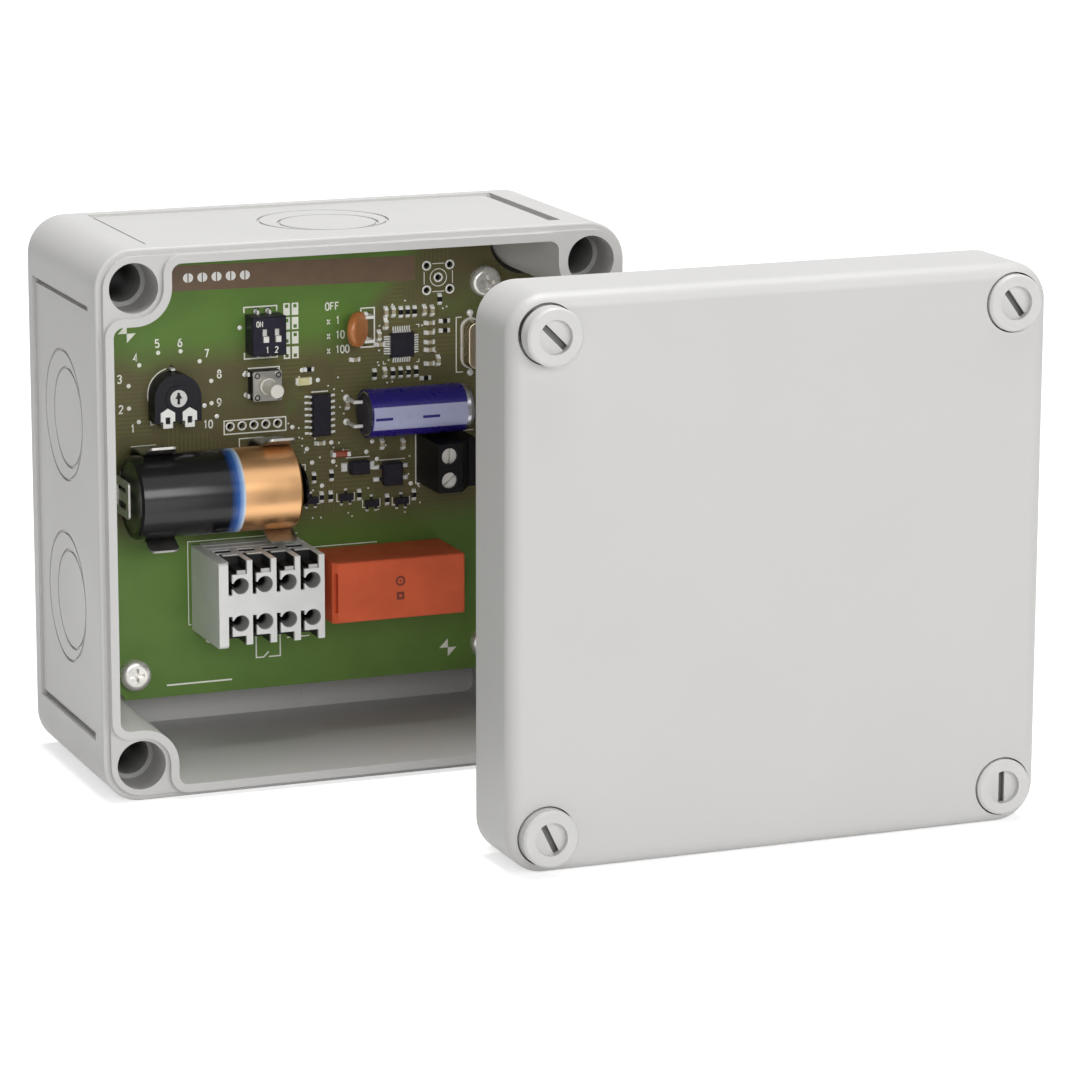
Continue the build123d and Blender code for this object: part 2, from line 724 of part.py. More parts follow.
# Code switch: a black body with two wells, and a slider in each
with BuildPart() as switch_body:
    with BuildSketch(board(0.3)):
        with Locations(code_switch):
            Rectangle(code_size[0], code_size[1])
    extrude(amount=code_size[2] - 0.3)
    chamfer(switch_body.faces().sort_by(Axis.Y)[0].edges(), 0.2)
    window_z = slider_z + slider_travel / 2
    with BuildSketch(board(code_size[2])):
        with Locations(*[(x, window_z) for x in slider_x]):
            Rectangle(slider_window[0], slider_window[1])
    extrude(amount=-slider_track_depth, mode=Mode.SUBTRACT)
    with BuildSketch(board(code_size[2] - slider_track_depth)):
        with Locations(*[(x, window_z) for x in slider_x]):
            Rectangle(slider_window[0], slider_length + slider_travel + 2 * slider_gap)
    extrude(amount=slider_plate + slider_gap, mode=Mode.SUBTRACT)
    with BuildSketch(board(0)):
        with Locations(*[(code_switch[0] + x, code_switch[1]) for x in (-2.6, 2.6)]):
            Rectangle(0.8, 6.6)
    extrude(amount=0.3)
finish(switch_body.part, "switch_body")

for number, x in enumerate(slider_x, 1):
    with BuildPart() as switch_slider:
        with BuildSketch(board(code_size[2] - slider_track_depth)):
            with Locations((x, slider_z)):
                Rectangle(slider_size[0], slider_length)
        extrude(amount=slider_plate)
        with BuildSketch(board(code_size[2] - slider_track_depth)):
            with Locations((x, slider_z)):
                Rectangle(slider_size[0], slider_size[1])
        extrude(amount=slider_track_depth + slider_stand)
    finish(switch_slider.part, f"switch_slider_{number}")

with BuildPart() as switch_legs:
    add(pins(code_pin_places, 0.5, 0.35, code_leg_w))
    for x, z in code_pin_places:
        inward = -1 if z > code_switch[1] else 1
        shoulder = code_leg_z - code_size[1] / 2
        with BuildSketch(board(code_leg_w - 0.35)):
            with Locations((x, z + inward * shoulder / 2)):
                Rectangle(0.5, shoulder)
        extrude(amount=0.35)
finish(switch_legs.part, "switch_legs")


def chip(place, size, bottom):
    """A moulded chip body with drafted edges: size is width, height and thickness."""
    with BuildPart() as body:
        with BuildSketch(board(bottom)):
            with Locations(place):
                Rectangle(size[0], size[1])
        extrude(amount=size[2])
        chamfer(body.faces().sort_by(Axis.Y)[0].edges(), 0.2)
    return body.part


def gull_leads(places, reach, width, height):
    """Leads, each from the chip's side at (x, z) and outward along the unit direction given with it."""
    with BuildPart() as leads:
        for x, z, right, up in places:
            across_x = width if up else reach
            across_z = width if right else reach
            with BuildSketch(board(0)):
                with Locations((x + right * reach / 2, z + up * reach / 2)):
                    Rectangle(across_x, across_z)
            extrude(amount=0.15)
            inner_x = width if up else reach / 2
            inner_z = width if right else reach / 2
            with BuildSketch(board(0.15)):
                with Locations((x + right * reach / 4, z + up * reach / 4)):
                    Rectangle(inner_x, inner_z)
            extrude(amount=height - 0.15)
    return leads.part


# Microcontroller, eight leads a side, and the fourteen-lead logic chip
finish(chip(controller, controller_size, 0.1), "microcontroller")
lead_steps = [controller_pitch * (i - 3.5) for i in range(8)]
controller_leads = []
for step in lead_steps:
    for sign in (-1, 1):
        controller_leads.append((controller[0] + sign * 2.5, controller[1] + step, sign, 0))
        controller_leads.append((controller[0] + step, controller[1] + sign * 2.5, 0, sign))
finish(gull_leads(controller_leads, 1.0, 0.26, 0.5), "microcontroller_leads")

finish(chip(logic_chip_place, logic_chip_size, 0.15), "logic_chip")
logic_leads = []
for i in range(7):
    for sign in (-1, 1):
        lead_x = logic_chip_place[0] + sign * logic_chip_size[0] / 2
        logic_leads.append((lead_x, logic_chip_place[1] + 1.27 * (i - 3), sign, 0))
finish(gull_leads(logic_leads, 1.05, 0.42, 0.7), "logic_chip_leads")

# Electrolytic capacitor: can, printed sleeve, rubber bung and leads
capacitor_centre = (0, -(board_front + capacitor_w), capacitor_z)
capacitor_plane = Plane(origin=capacitor_centre, x_dir=(1, 0, 0), z_dir=(0, -1, 0))
capacitor_axis = Axis(capacitor_centre, (1, 0, 0))
can_wall_radius = capacitor_radius - 0.15
bung_radius = 4.2
with BuildPart() as capacitor_can:
    with BuildSketch(capacitor_plane):
        with BuildLine():
            can_left, can_right = capacitor_x
            Polyline((can_left + 1.2, 0), (can_left + 1.2, bung_radius), (can_left + 0.2, bung_radius),
                     (can_left + 0.2, can_wall_radius - 0.2), (can_left + 1.6, can_wall_radius),
                     (can_left + 2.2, can_wall_radius - 0.5), (can_left + 2.8, can_wall_radius),
                     (can_right - 1.0, can_wall_radius), (can_right - 0.3, can_wall_radius - 0.3),
                     (can_right, can_wall_radius - 1.0), (can_right, 0), close=True)
        make_face()
    revolve(axis=capacitor_axis)
finish(capacitor_can.part, "capacitor_can")

with BuildPart() as capacitor_sleeve:
    with BuildSketch(Plane.YZ.offset(capacitor_x[0] + 0.2)):
        with Locations((-(board_front + capacitor_w), capacitor_z)):
            Circle(capacitor_radius)
            Circle(can_wall_radius, mode=Mode.SUBTRACT)
    extrude(amount=capacitor_x[1] - capacitor_x[0] - 2.0)
finish(capacitor_sleeve.part, "capacitor_sleeve")

with BuildPart() as capacitor_bung:
    with BuildSketch(Plane.YZ.offset(capacitor_x[0] - 0.4)):
        with Locations((-(board_front + capacitor_w), capacitor_z)):
            Circle(bung_radius)
    extrude(amount=1.6)
    chamfer(capacitor_bung.faces().sort_by(Axis.X)[0].edges(), 0.5)
finish(capacitor_bung.part, "capacitor_bung")

with BuildPart() as capacitor_leads:
    for x, z in capacitor_pin_places:
        with BuildSketch(board(-pin_reach)):
            with Locations((x, z)):
                Rectangle(0.6, 0.6)
        extrude(amount=pin_reach + capacitor_w + 0.3)
        with BuildSketch(Plane.YZ.offset(x)):
            with Locations((-(board_front + capacitor_w), z)):
                Rectangle(0.6, 0.6)
        extrude(amount=capacitor_x[0] - 0.4 - x)
finish(capacitor_leads.part, "capacitor_leads")

# Crystal: a drawn can with round ends on a flanged base
with BuildPart() as crystal_base:
    with BuildSketch(board(0)):
        with Locations(crystal):
            SlotOverall(crystal_size[1], crystal_size[0], rotation=90)
    extrude(amount=0.5)
finish(crystal_base.part, "crystal_base")

with BuildPart() as crystal_can:
    with BuildSketch(board(0.5)):
        with Locations(crystal):
            SlotOverall(crystal_size[1] - 0.6, crystal_size[0] - 0.6, rotation=90)
    extrude(amount=crystal_size[2] - 0.5)
    fillet(crystal_can.faces().sort_by(Axis.Y)[0].edges(), 0.5)
finish(crystal_can.part, "crystal_can")

with BuildPart() as crystal_leads:
    for (x, z), inward in zip(crystal_pin_places, (1, -1)):
        with BuildSketch(board(-pin_reach)):
            with Locations((x, z)):
                Rectangle(0.5, 0.5)
        extrude(amount=pin_reach + 0.4)
        with BuildSketch(board(0)):
            with Locations((x, z + inward * 0.55)):
                Rectangle(0.5, 0.7)
        extrude(amount=0.4)
finish(crystal_leads.part, "crystal_leads")

# Resettable fuse: a dipped disc that leans over to the left, on two leads bent over to it
lean = radians(fuse_lean)
fuse_start = (fuse_foot[0], -(board_front + fuse_foot[2]), fuse_foot[1])
fuse_plane = Plane(origin=fuse_start, x_dir=(0, 0, 1), z_dir=(cos(lean), -sin(lean), 0))
with BuildPart() as fuse_disc:
    with BuildSketch(fuse_plane):
        with Locations((0, fuse_radius)):
            Circle(fuse_radius)
    extrude(amount=fuse_thickness / 2, both=True)
    fillet(fuse_disc.edges().filter_by(GeomType.CIRCLE), fuse_thickness * 0.4)
finish(fuse_disc.part, "fuse_disc")

with BuildPart() as fuse_leads:
    add(pins(fuse_pin_places, fuse_lead, fuse_lead, fuse_lead_w + fuse_lead))
    for x, z in fuse_pin_places:
        with BuildSketch(board(fuse_lead_w)):
            with Locations((x - fuse_lead_run / 2, z)):
                Rectangle(fuse_lead_run, fuse_lead)
        extrude(amount=fuse_lead)
    add(fuse_disc.part, mode=Mode.SUBTRACT)
finish(fuse_leads.part, "fuse_leads")

# Relay: a sealed cover on its base, with the pins through the board
with BuildPart() as relay_housing:
    with BuildSketch(board(relay_base_height)):
        with Locations(relay):
            Rectangle(relay_size[0], relay_size[1])
    extrude(amount=relay_size[2] - relay_base_height)
    # The left front corner is cut back, with a slit in the cut
    relay_left = relay[0] - relay_size[0] / 2
    left_corner = relay_housing.edges().filter_by(Axis.Z).sort_by_distance((relay_left, -100, relay[1]))[0]
    chamfer(left_corner, relay_corner)
    fillet(relay_housing.faces().sort_by(Axis.Y)[0].edges().filter_by(Axis.X), 0.5)
    fillet(relay_housing.faces().sort_by(Axis.Y)[0].edges().sort_by(Axis.X)[-1:], 0.5)
    with BuildSketch(board(relay_size[2])):
        with Locations((relay_left + relay_corner - relay_slit[0] / 2, relay[1])):
            Rectangle(relay_slit[0], relay_slit[1])
    extrude(amount=relay_slit_w - relay_size[2], mode=Mode.SUBTRACT)
finish(relay_housing.part, "relay_housing")

with BuildPart() as relay_base:
    with BuildSketch(board(0)):
        with Locations(relay):
            Rectangle(relay_size[0] - 0.6, relay_size[1] - 0.6)
    extrude(amount=relay_base_height)
finish(relay_base.part, "relay_base")

relay_pins = pins(relay_pin_places, 0.8, 0.5)
finish(relay_pins, "relay_pins")

# Spring terminal: for each pole a wire funnel and a release slot, in two rows
block_x, block_z = wire_block_x, wire_block_z
slot_left, slot_width_across = release_slot
with BuildPart() as wire_terminal_housing:
    with BuildSketch(board(0)):
        with Locations((sum(block_x) / 2, sum(block_z) / 2)):
            Rectangle(block_x[1] - block_x[0], block_z[1] - block_z[0])
    extrude(amount=wire_block_height)
    # Wire funnels, each a cone with a throat behind it
    funnel_y = -(board_front + wire_block_height - funnel_taper / 2)
    with Locations(*[(x, funnel_y, z) for x, z in wire_pin_places]):
        Cone(funnel_throat_radius, funnel_radius, funnel_taper, rotation=(90, 0, 0), mode=Mode.SUBTRACT)
    with BuildSketch(board(wire_block_height - funnel_depth)):
        with Locations(*wire_pin_places):
            Circle(funnel_throat_radius)
    extrude(amount=funnel_depth - funnel_taper, mode=Mode.SUBTRACT)
    # Release slots, each linked to its funnel
    for row_z, low, high in ((pole_rows_z[0], -19.1, block_z[1]), (pole_rows_z[1], block_z[0], -23.4)):
        with BuildSketch(board(wire_block_height)):
            with Locations(*[(x + slot_left + slot_width_across / 2, (low + high) / 2) for x in pole_xs]):
                Rectangle(slot_width_across, high - low)
        extrude(amount=-release_slot_depth, mode=Mode.SUBTRACT)
        with BuildSketch(board(wire_block_height)):
            link_left = slot_left + slot_width_across - 0.1
            with Locations(*[(x + link_left + release_link[0] / 2, row_z) for x in pole_xs]):
                Rectangle(release_link[0], release_link[1])
        extrude(amount=-notch_depth, mode=Mode.SUBTRACT)
    # Notches above and below the poles, open at the block's top and bottom. Each upper one keeps a small tab
    upper_middle = block_z[1] - upper_notch[1] / 2
    lower_middle = block_z[0] + lower_notch[1] / 2
    for (width, height), middle in ((upper_notch, upper_middle), (lower_notch, lower_middle)):
        with BuildSketch(board(wire_block_height)):
            with Locations(*[(x + slot_left + width / 2, middle) for x in pole_xs]):
                Rectangle(width, height)
        extrude(amount=-notch_depth, mode=Mode.SUBTRACT)
    tab_left, tab_width, tab_height = notch_tab
    tab_z = block_z[1] - upper_notch[1] + tab_height / 2
    with BuildSketch(board(wire_block_height - notch_depth)):
        with Locations(*[(x + tab_left + tab_width / 2, tab_z) for x in pole_xs]):
            Rectangle(tab_width, tab_height)
    extrude(amount=notch_depth - 0.4)
    # A pocket for each pole's spring in the top
    with BuildSketch(Plane.XY.offset(block_z[1])):
        pocket_x = slot_left + top_pocket[0] / 2
        with Locations(*[(x + pocket_x, -(board_front + top_pocket[2])) for x in pole_xs]):
            Rectangle(top_pocket[0], top_pocket[1])
    extrude(amount=-0.9, mode=Mode.SUBTRACT)
    # Grooves along the top
    with BuildSketch(Plane.XY.offset(block_z[1])):
        with Locations(*[(sum(block_x) / 2, -(board_front + w)) for w in (3.0, 6.0)]):
            Rectangle(block_x[1] - block_x[0], 0.6)
    extrude(amount=-0.5, mode=Mode.SUBTRACT)
finish(wire_terminal_housing.part, "wire_terminal_housing")

with BuildPart() as wire_terminal_end_plate:
    with BuildSketch(board(0)):
        with Locations((block_x[0] - end_plate_thickness / 2, sum(end_plate_z) / 2)):
            Rectangle(end_plate_thickness, end_plate_z[1] - end_plate_z[0])
    extrude(amount=wire_block_height)
    fillet(wire_terminal_end_plate.faces().sort_by(Axis.Y)[0].edges().filter_by(Axis.X), end_plate_radius)
finish(wire_terminal_end_plate.part, "wire_terminal_end_plate")

with BuildPart() as wire_terminal_clamps:
    with BuildSketch(board(wire_block_height - release_slot_depth)):
        clamp_x = slot_left + slot_width_across / 2
        with Locations(*[(x + clamp_x, z) for x in pole_xs for z in (-16.9, -25.4)]):
            Rectangle(slot_width_across - 0.1, 2.6)
    extrude(amount=4.0)
finish(wire_terminal_clamps.part, "wire_terminal_clamps")

wire_terminal_pins = pins(wire_pin_places, 0.9, 0.6)
finish(wire_terminal_pins, "wire_terminal_pins")

# Screw terminal: a stepped block, open to the right, with a clamp and a screw for each wire
with BuildPart() as screw_terminal_housing:
    with BuildSketch(Plane.XY.offset(screw_block[1] - screw_block_size[1] / 2)):
        with BuildLine():
            front_y = -(board_front + screw_block_size[2])
            shoulder_y = -(board_front + screw_block_shoulder)
            block_right = screw_block[0] + screw_block_size[0]
            Polyline((screw_block[0], -board_front), (screw_block[0], front_y),
                     (screw_block_step_x[0], front_y), (screw_block_step_x[1], shoulder_y),
                     (block_right, shoulder_y), (block_right, -board_front), close=True)
        make_face()
    extrude(amount=screw_block_size[1])
    with BuildSketch(board(terminal_screw_bore_w)):
        with Locations(*[(terminal_screw_x, z) for z in screw_poles_z]):
            Circle(terminal_screw_radius + running_gap)
    extrude(amount=screw_block_size[2], mode=Mode.SUBTRACT)
    with BuildSketch(across(block_right)):
        with Locations(*[(z, wire_mouth[2]) for z in screw_poles_z]):
            Rectangle(wire_mouth[0], wire_mouth[1])
    extrude(amount=-(block_right - terminal_screw_x + 2.0), mode=Mode.SUBTRACT)
finish(screw_terminal_housing.part, "screw_terminal_housing")

for number, (z, slot_angle) in enumerate(zip(screw_poles_z, (88.0, 40.0)), 1):
    with BuildPart() as screw_terminal_screw:
        with BuildSketch(board(terminal_screw_w[0])):
            with Locations((terminal_screw_x, z)):
                Circle(terminal_screw_radius)
        extrude(amount=terminal_screw_w[1] - terminal_screw_w[0])
        with BuildSketch(board(terminal_screw_w[1])):
            with Locations((terminal_screw_x, z)):
                Rectangle(2 * terminal_screw_radius + 0.2, 0.5, rotation=slot_angle)
        extrude(amount=-0.8, mode=Mode.SUBTRACT)
    finish(screw_terminal_screw.part, f"screw_terminal_screw_{number}")

with BuildPart() as screw_terminal_clamps:
    with BuildSketch(across(terminal_screw_x - 1.9)):
        with Locations(*[(z, wire_mouth[2]) for z in screw_poles_z]):
            Rectangle(wire_mouth[0] - 0.2, wire_mouth[1] - 0.2)
            Rectangle(2.4, 3.0, mode=Mode.SUBTRACT)
    extrude(amount=3.8)
finish(screw_terminal_clamps.part, "screw_terminal_clamps")

screw_terminal_pins = pins(screw_pin_places, 0.9, 0.9)
finish(screw_terminal_pins, "screw_terminal_pins")

# Small parts on the board's face
with BuildPart() as indicator_led:
    with BuildSketch(board(0)):
        with Locations(indicator_place):
            Rectangle(3.1, 1.6)
    extrude(amount=0.5)
    with BuildSketch(board(0.5)):
        with Locations(indicator_place):
            Rectangle(1.9, 1.5)
    extrude(amount=0.5)
finish(indicator_led.part, "indicator_led")

with BuildPart() as signal_diode:
    diode_radius, diode_length = signal_diode_size
    with BuildSketch(Plane.YZ.offset(signal_diode_place[0])):
        with Locations((-(board_front + diode_radius + 0.05), signal_diode_place[1])):
            Circle(diode_radius)
    extrude(amount=diode_length)
finish(signal_diode.part, "signal_diode")


def tabbed_body(place, size, tab, tab_zs):
    """A moulded body on flat tabs that come out of both its ends, each tab's reach and width given."""
    reach, width = tab
    lift = 0.2
    with BuildPart() as body:
        with BuildSketch(board(lift)):
            with Locations(place):
                Rectangle(size[0], size[1])
        extrude(amount=size[2])
        chamfer(body.faces().sort_by(Axis.Y)[0].edges(), 0.25)
        for side_x in (-1, 1):
            foot_x = place[0] + side_x * (size[0] / 2 + 0.4)
            rise_x = place[0] + side_x * (size[0] / 2 + 0.15)
            with BuildSketch(board(0)):
                with Locations(*[(foot_x, place[1] + z) for z in tab_zs]):
                    Rectangle(reach, width)
            extrude(amount=lift)
            with BuildSketch(board(lift)):
                with Locations(*[(rise_x, place[1] + z) for z in tab_zs]):
                    Rectangle(0.3, width)
            extrude(amount=0.9)
    return body.part


bridge_lead_zs = (-bridge_lead_z, bridge_lead_z)
finish(tabbed_body(power_diode_place, power_diode_size, (1.2, 1.5), (0.0,)), "power_diode")
finish(tabbed_body(bridge_place, bridge_size, (1.3, 0.6), bridge_lead_zs), "bridge_rectifier")

with BuildPart() as transistors:
    with BuildSketch(board(0.1)):
        with Locations(*transistor_places):
            Rectangle(transistor_size[0], transistor_size[1])
    extrude(amount=transistor_size[2])
    with BuildSketch(board(0)):
        with Locations(*[(x + u, z + v) for x, z in transistor_places for u, v in transistor_leads]):
            Rectangle(0.4, 0.9)
    extrude(amount=0.3)
finish(transistors.part, "transistors")

upright_resistors = [(14.0, 20.4), (18.0, 20.4), (19.7, 20.4), (21.4, 20.4), (23.1, 20.4), (2.3, -4.5),
                     (4.3, -4.5), (10.5, -4.6), (16.6, -6.1), (22.5, -5.5), (0.7, -0.3), (4.5, -0.1),
                     (19.8, 33.0), (21.3, 33.0), (22.8, 33.0), (28.3, 35.2)]
level_resistors = [(29.4, 30.6), (29.4, 28.6), (-0.2, 22.4), (25.2, 18.9)]
upright_capacitors = [(16.2, 20.6), (15.0, 28.4), (16.5, 33.2), (18.1, 33.2), (24.9, 33.1), (26.6, 32.9),
                      (27.9, 22.4), (8.0, 14.6), (15.5, 5.7), (20.1, 5.4), (16.5, 30.7)]
level_capacitors = [(26.1, 30.4), (26.1, 28.4), (26.1, 26.4), (26.1, 24.8), (26.1, 21.9), (9.8, 23.8),
                    (15.2, 26.6), (2.1, 6.9)]


def chips(upright, level, height):
    """Small two-ended chips, standing or lying on the board's face."""
    with BuildPart() as group:
        with BuildSketch(board(0)):
            with Locations(*upright):
                Rectangle(chip_size[1], chip_size[0])
            with Locations(*level):
                Rectangle(chip_size[0], chip_size[1])
        extrude(amount=height)
    return group.part


finish(chips(upright_capacitors, level_capacitors, 0.8), "chip_capacitors")
finish(chips(upright_resistors, level_resistors, 0.5), "chip_resistors")
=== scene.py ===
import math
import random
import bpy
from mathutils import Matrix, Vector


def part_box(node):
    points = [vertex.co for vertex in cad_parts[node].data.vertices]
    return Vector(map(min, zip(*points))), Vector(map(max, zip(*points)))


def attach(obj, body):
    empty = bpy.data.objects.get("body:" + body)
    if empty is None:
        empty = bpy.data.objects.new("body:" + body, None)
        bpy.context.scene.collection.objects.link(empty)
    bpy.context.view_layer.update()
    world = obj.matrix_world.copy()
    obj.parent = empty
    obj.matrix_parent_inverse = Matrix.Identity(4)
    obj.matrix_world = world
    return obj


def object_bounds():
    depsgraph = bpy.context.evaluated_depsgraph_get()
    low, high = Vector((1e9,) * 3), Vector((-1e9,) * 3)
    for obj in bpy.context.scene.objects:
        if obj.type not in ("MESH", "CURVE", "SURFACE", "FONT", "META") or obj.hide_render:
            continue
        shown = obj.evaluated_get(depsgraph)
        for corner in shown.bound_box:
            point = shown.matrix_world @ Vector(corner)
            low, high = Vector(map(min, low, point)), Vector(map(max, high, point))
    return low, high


bl_info = {
    "name": "Doorbell Relay Box",
    "version": (1, 0, 0),
    "blender": (4, 5, 0),
    "location": "3D View > Sidebar > Relay Box",
    "description": "Finishes, board print, solder and stage for the doorbell relay box",
    "category": "Object",
}

import bmesh
import bpy
from bpy.props import FloatProperty, FloatVectorProperty, IntProperty, PointerProperty
from mathutils import Matrix, Vector

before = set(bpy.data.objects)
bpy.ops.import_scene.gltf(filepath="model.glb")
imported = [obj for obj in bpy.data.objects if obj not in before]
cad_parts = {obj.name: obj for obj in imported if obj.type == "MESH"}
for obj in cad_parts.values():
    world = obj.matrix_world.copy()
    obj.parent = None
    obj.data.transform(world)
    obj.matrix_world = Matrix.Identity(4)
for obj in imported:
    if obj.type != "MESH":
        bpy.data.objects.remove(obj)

# The case's front is towards -Y, X runs to the right and Z up. The scene and what materials read are in metres.
# Places on the board are in millimetres: x and z on its face, and w in front of that face.
MM = 0.001
CAD_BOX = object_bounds()
BOARD_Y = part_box("circuit_board")[0].y
CASE = "case_body"
# The case's screw tubes: from its middle to theirs each way, their radius at the mouth, and their floor's
# height above the wall
TUBE_PLACE = 0.0475
TUBE_RADIUS = 0.0050
TUBE_FLOOR = 0.0079
# The aerial socket's middle on the board, and the spacing of its holes and of the row's
AERIAL = (28.1, 39.7)
HOLE_PITCH = 2.54


def linear(hex_colour):
    """The linear RGB of an sRGB colour written in hex."""
    parts = [int(hex_colour[i:i + 2], 16) / 255 for i in (0, 2, 4)]
    return tuple(p / 12.92 if p <= 0.04045 else ((p + 0.055) / 1.055) ** 2.4 for p in parts)


def colour_property(name, description, hex_colour):
    """A colour to change in the sidebar."""
    return FloatVectorProperty(name=name, description=description, default=linear(hex_colour), min=0, max=1,
                               subtype="COLOR")


def length_property(name, description, default):
    """A length to change in the sidebar, its default in millimetres."""
    return FloatProperty(name=name, description=description, default=default * MM, min=0, unit="LENGTH")


class RelayBoxColours(bpy.types.PropertyGroup):
    """Base colours of the finishes."""

    housing: colour_property("Housing", "Case and lid", "C4C3C1")
    lid_screws: colour_property("Lid Screws", "The four captive screws", "CBCAC8")
    mask_green: colour_property("Board Green", "Solder mask over copper", "67883F")
    mask_brown: colour_property("Board Brown", "Solder mask over bare laminate", "655F40")
    laminate: colour_property("Cut Laminate", "Sawn edges of the board", "B9B48C")
    strip: colour_property("Antenna Strip", "Dark band along the board's top", "786049")
    ink: colour_property("Board Print", "White ink on the board", "FBFBF0")
    solder: colour_property("Solder", "Tinned pads and leads", "FCFCF8")
    steel: colour_property("Plated Steel", "Screws, clips and cans", "C9C7C2")
    chip_black: colour_property("Chip Black", "Moulded chip bodies", "24222B")
    sleeve_black: colour_property("Battery Black", "Left part of the battery's sleeve", "111014")
    sleeve_blue: colour_property("Battery Ring", "Narrow ring of the battery's sleeve", "2F62B4")
    sleeve_copper: colour_property("Battery Copper", "Right part of the battery's sleeve", "F0BC88")
    capacitor_violet: colour_property("Capacitor Sleeve", "Shrunk sleeve of the capacitor", "2F2488")
    capacitor_stripe: colour_property("Capacitor Stripe", "Stripe on the negative side", "BFC3E6")
    relay: colour_property("Relay Red", "The relay's cover", "E76A45")
    fuse: colour_property("Fuse Brown", "Dipped coating of the fuse", "C87E44")
    terminal: colour_property("Terminal Grey", "Wire terminal", "EEEEEC")


class RelayBoxSizes(bpy.types.PropertyGroup):
    """Sizes of what is added to the model, and the grain of its surfaces."""

    ink_line: length_property("Print Line", "Width of the printed outlines", 0.28)
    ink_film: length_property("Print Thickness", "Thickness of the ink", 0.03)
    digit_height: length_property("Digit Height", "Height of the dial's numbers", 1.55)
    dial_dot: length_property("Dial Dot", "Radius of the dial's dots", 0.45)
    solder_height: length_property("Solder Height", "How high the solder stands on a lead", 0.35)
    housing_grain: length_property("Housing Grain", "Spacing of the moulded texture of case and lid", 0.45)
    track_pitch: length_property("Track Pitch", "Distance between copper tracks under the mask", 0.9)
    via_count: IntProperty(
        name="Via Count", description="Plated holes scattered among the small parts", default=70, min=0)


class RelayBoxStage(bpy.types.PropertyGroup):
    """Camera, lamps and surroundings."""

    camera_place: FloatVectorProperty(
        name="Camera Place", description="Where the camera stands", default=(-0.297, -0.889, 0.195),
        subtype="TRANSLATION", unit="LENGTH")
    camera_turn: FloatProperty(
        name="Camera Turn", description="Turned right of straight at the wall", default=math.radians(21.62),
        subtype="ANGLE", unit="ROTATION")
    camera_tilt: FloatProperty(
        name="Camera Tilt", description="Tilted down", default=math.radians(12.66), subtype="ANGLE",
        unit="ROTATION")
    camera_roll: FloatProperty(
        name="Camera Roll", description="Rolled about the line of sight", default=math.radians(0.12),
        subtype="ANGLE", unit="ROTATION")
    lens: FloatProperty(
        name="Lens", description="Focal length on a 36 mm sensor", default=154.6, min=1, unit="CAMERA")
    key_power: FloatProperty(
        name="Top Power", description="Soft lamp above", default=15.0, min=0, unit="POWER")
    fill_power: FloatProperty(
        name="Front Power", description="Wide soft lamp in front", default=10.0, min=0, unit="POWER")
    surroundings: FloatProperty(
        name="Surroundings", description="Strength of the light from all sides", default=0.16, min=0)


# Shader nodes


def add(tree, kind, inputs=None, **settings):
    """Add a shader node. Settings are its own properties; inputs are values for its sockets, or links to them."""
    node = tree.nodes.new(kind)
    for name, value in settings.items():
        setattr(node, name, value)
    for key, value in (inputs or {}).items():
        if isinstance(value, bpy.types.NodeSocket):
            tree.links.new(value, node.inputs[key])
        else:
            node.inputs[key].default_value = value
    return node


def rgba(colour, shade=1.0):
    """A colour for a socket, darkened or lightened by shade."""
    return (*[min(c * shade, 1.0) for c in colour], 1.0)


def surface(name, colour, shade=0.93, patch=6.0, roughness=(0.4, 0.5), grain=0.4, depth=0.004,
            stretch=(1.0, 1.0, 1.0), metallic=0.0, ior=1.5, specular=0.5, coat=0.0):
    """A material from its maker's values.

    The colour drifts to shade times itself over patches of this size, the roughness drifts between two values
    with it, and grain of this spacing and depth, drawn out by stretch, lies on top. Sizes are in millimetres.
    """
    material = bpy.data.materials.new(name)
    material.use_nodes = True
    tree = material.node_tree
    shader = tree.nodes["Principled BSDF"]
    place = add(tree, "ShaderNodeTexCoord").outputs["Object"]
    cloud = add(tree, "ShaderNodeTexNoise", {"Vector": place, "Scale": 1 / (patch * MM), "Detail": 3.0})
    drift = add(tree, "ShaderNodeMapRange", {"Value": cloud.outputs[0], "From Min": 0.3, "From Max": 0.7})
    tint = add(tree, "ShaderNodeMix", {"Factor": drift.outputs[0], 6: rgba(colour), 7: rgba(colour, shade)},
               data_type="RGBA")
    gloss = add(tree, "ShaderNodeMapRange",
                {"Value": drift.outputs[0], "To Min": roughness[0], "To Max": roughness[1]})
    drawn = add(tree, "ShaderNodeMapping", {"Vector": place, "Scale": stretch})
    fine = add(tree, "ShaderNodeTexNoise", {"Vector": drawn.outputs[0], "Scale": 1 / (grain * MM), "Detail": 2.0})
    bump = add(tree, "ShaderNodeBump", {"Height": fine.outputs[0], "Distance": depth * MM})
    tree.links.new(tint.outputs[2], shader.inputs["Base Color"])
    tree.links.new(gloss.outputs[0], shader.inputs["Roughness"])
    tree.links.new(bump.outputs[0], shader.inputs["Normal"])
    shader.inputs["Metallic"].default_value = metallic
    shader.inputs["Coat Weight"].default_value = coat
    shader.inputs["Coat Roughness"].default_value = 0.12
    if not metallic:
        shader.inputs["IOR"].default_value = ior
        shader.inputs["Specular IOR Level"].default_value = specular
    return material


def base_colour(material):
    """The tree, its shader and the socket that now feeds the base colour."""
    tree = material.node_tree
    shader = tree.nodes["Principled BSDF"]
    return tree, shader, shader.inputs["Base Color"].links[0].from_socket


def place_parts(tree):
    """The object's own x, y and z sockets, in metres."""
    place = add(tree, "ShaderNodeTexCoord").outputs["Object"]
    return add(tree, "ShaderNodeSeparateXYZ", {"Vector": place}).outputs


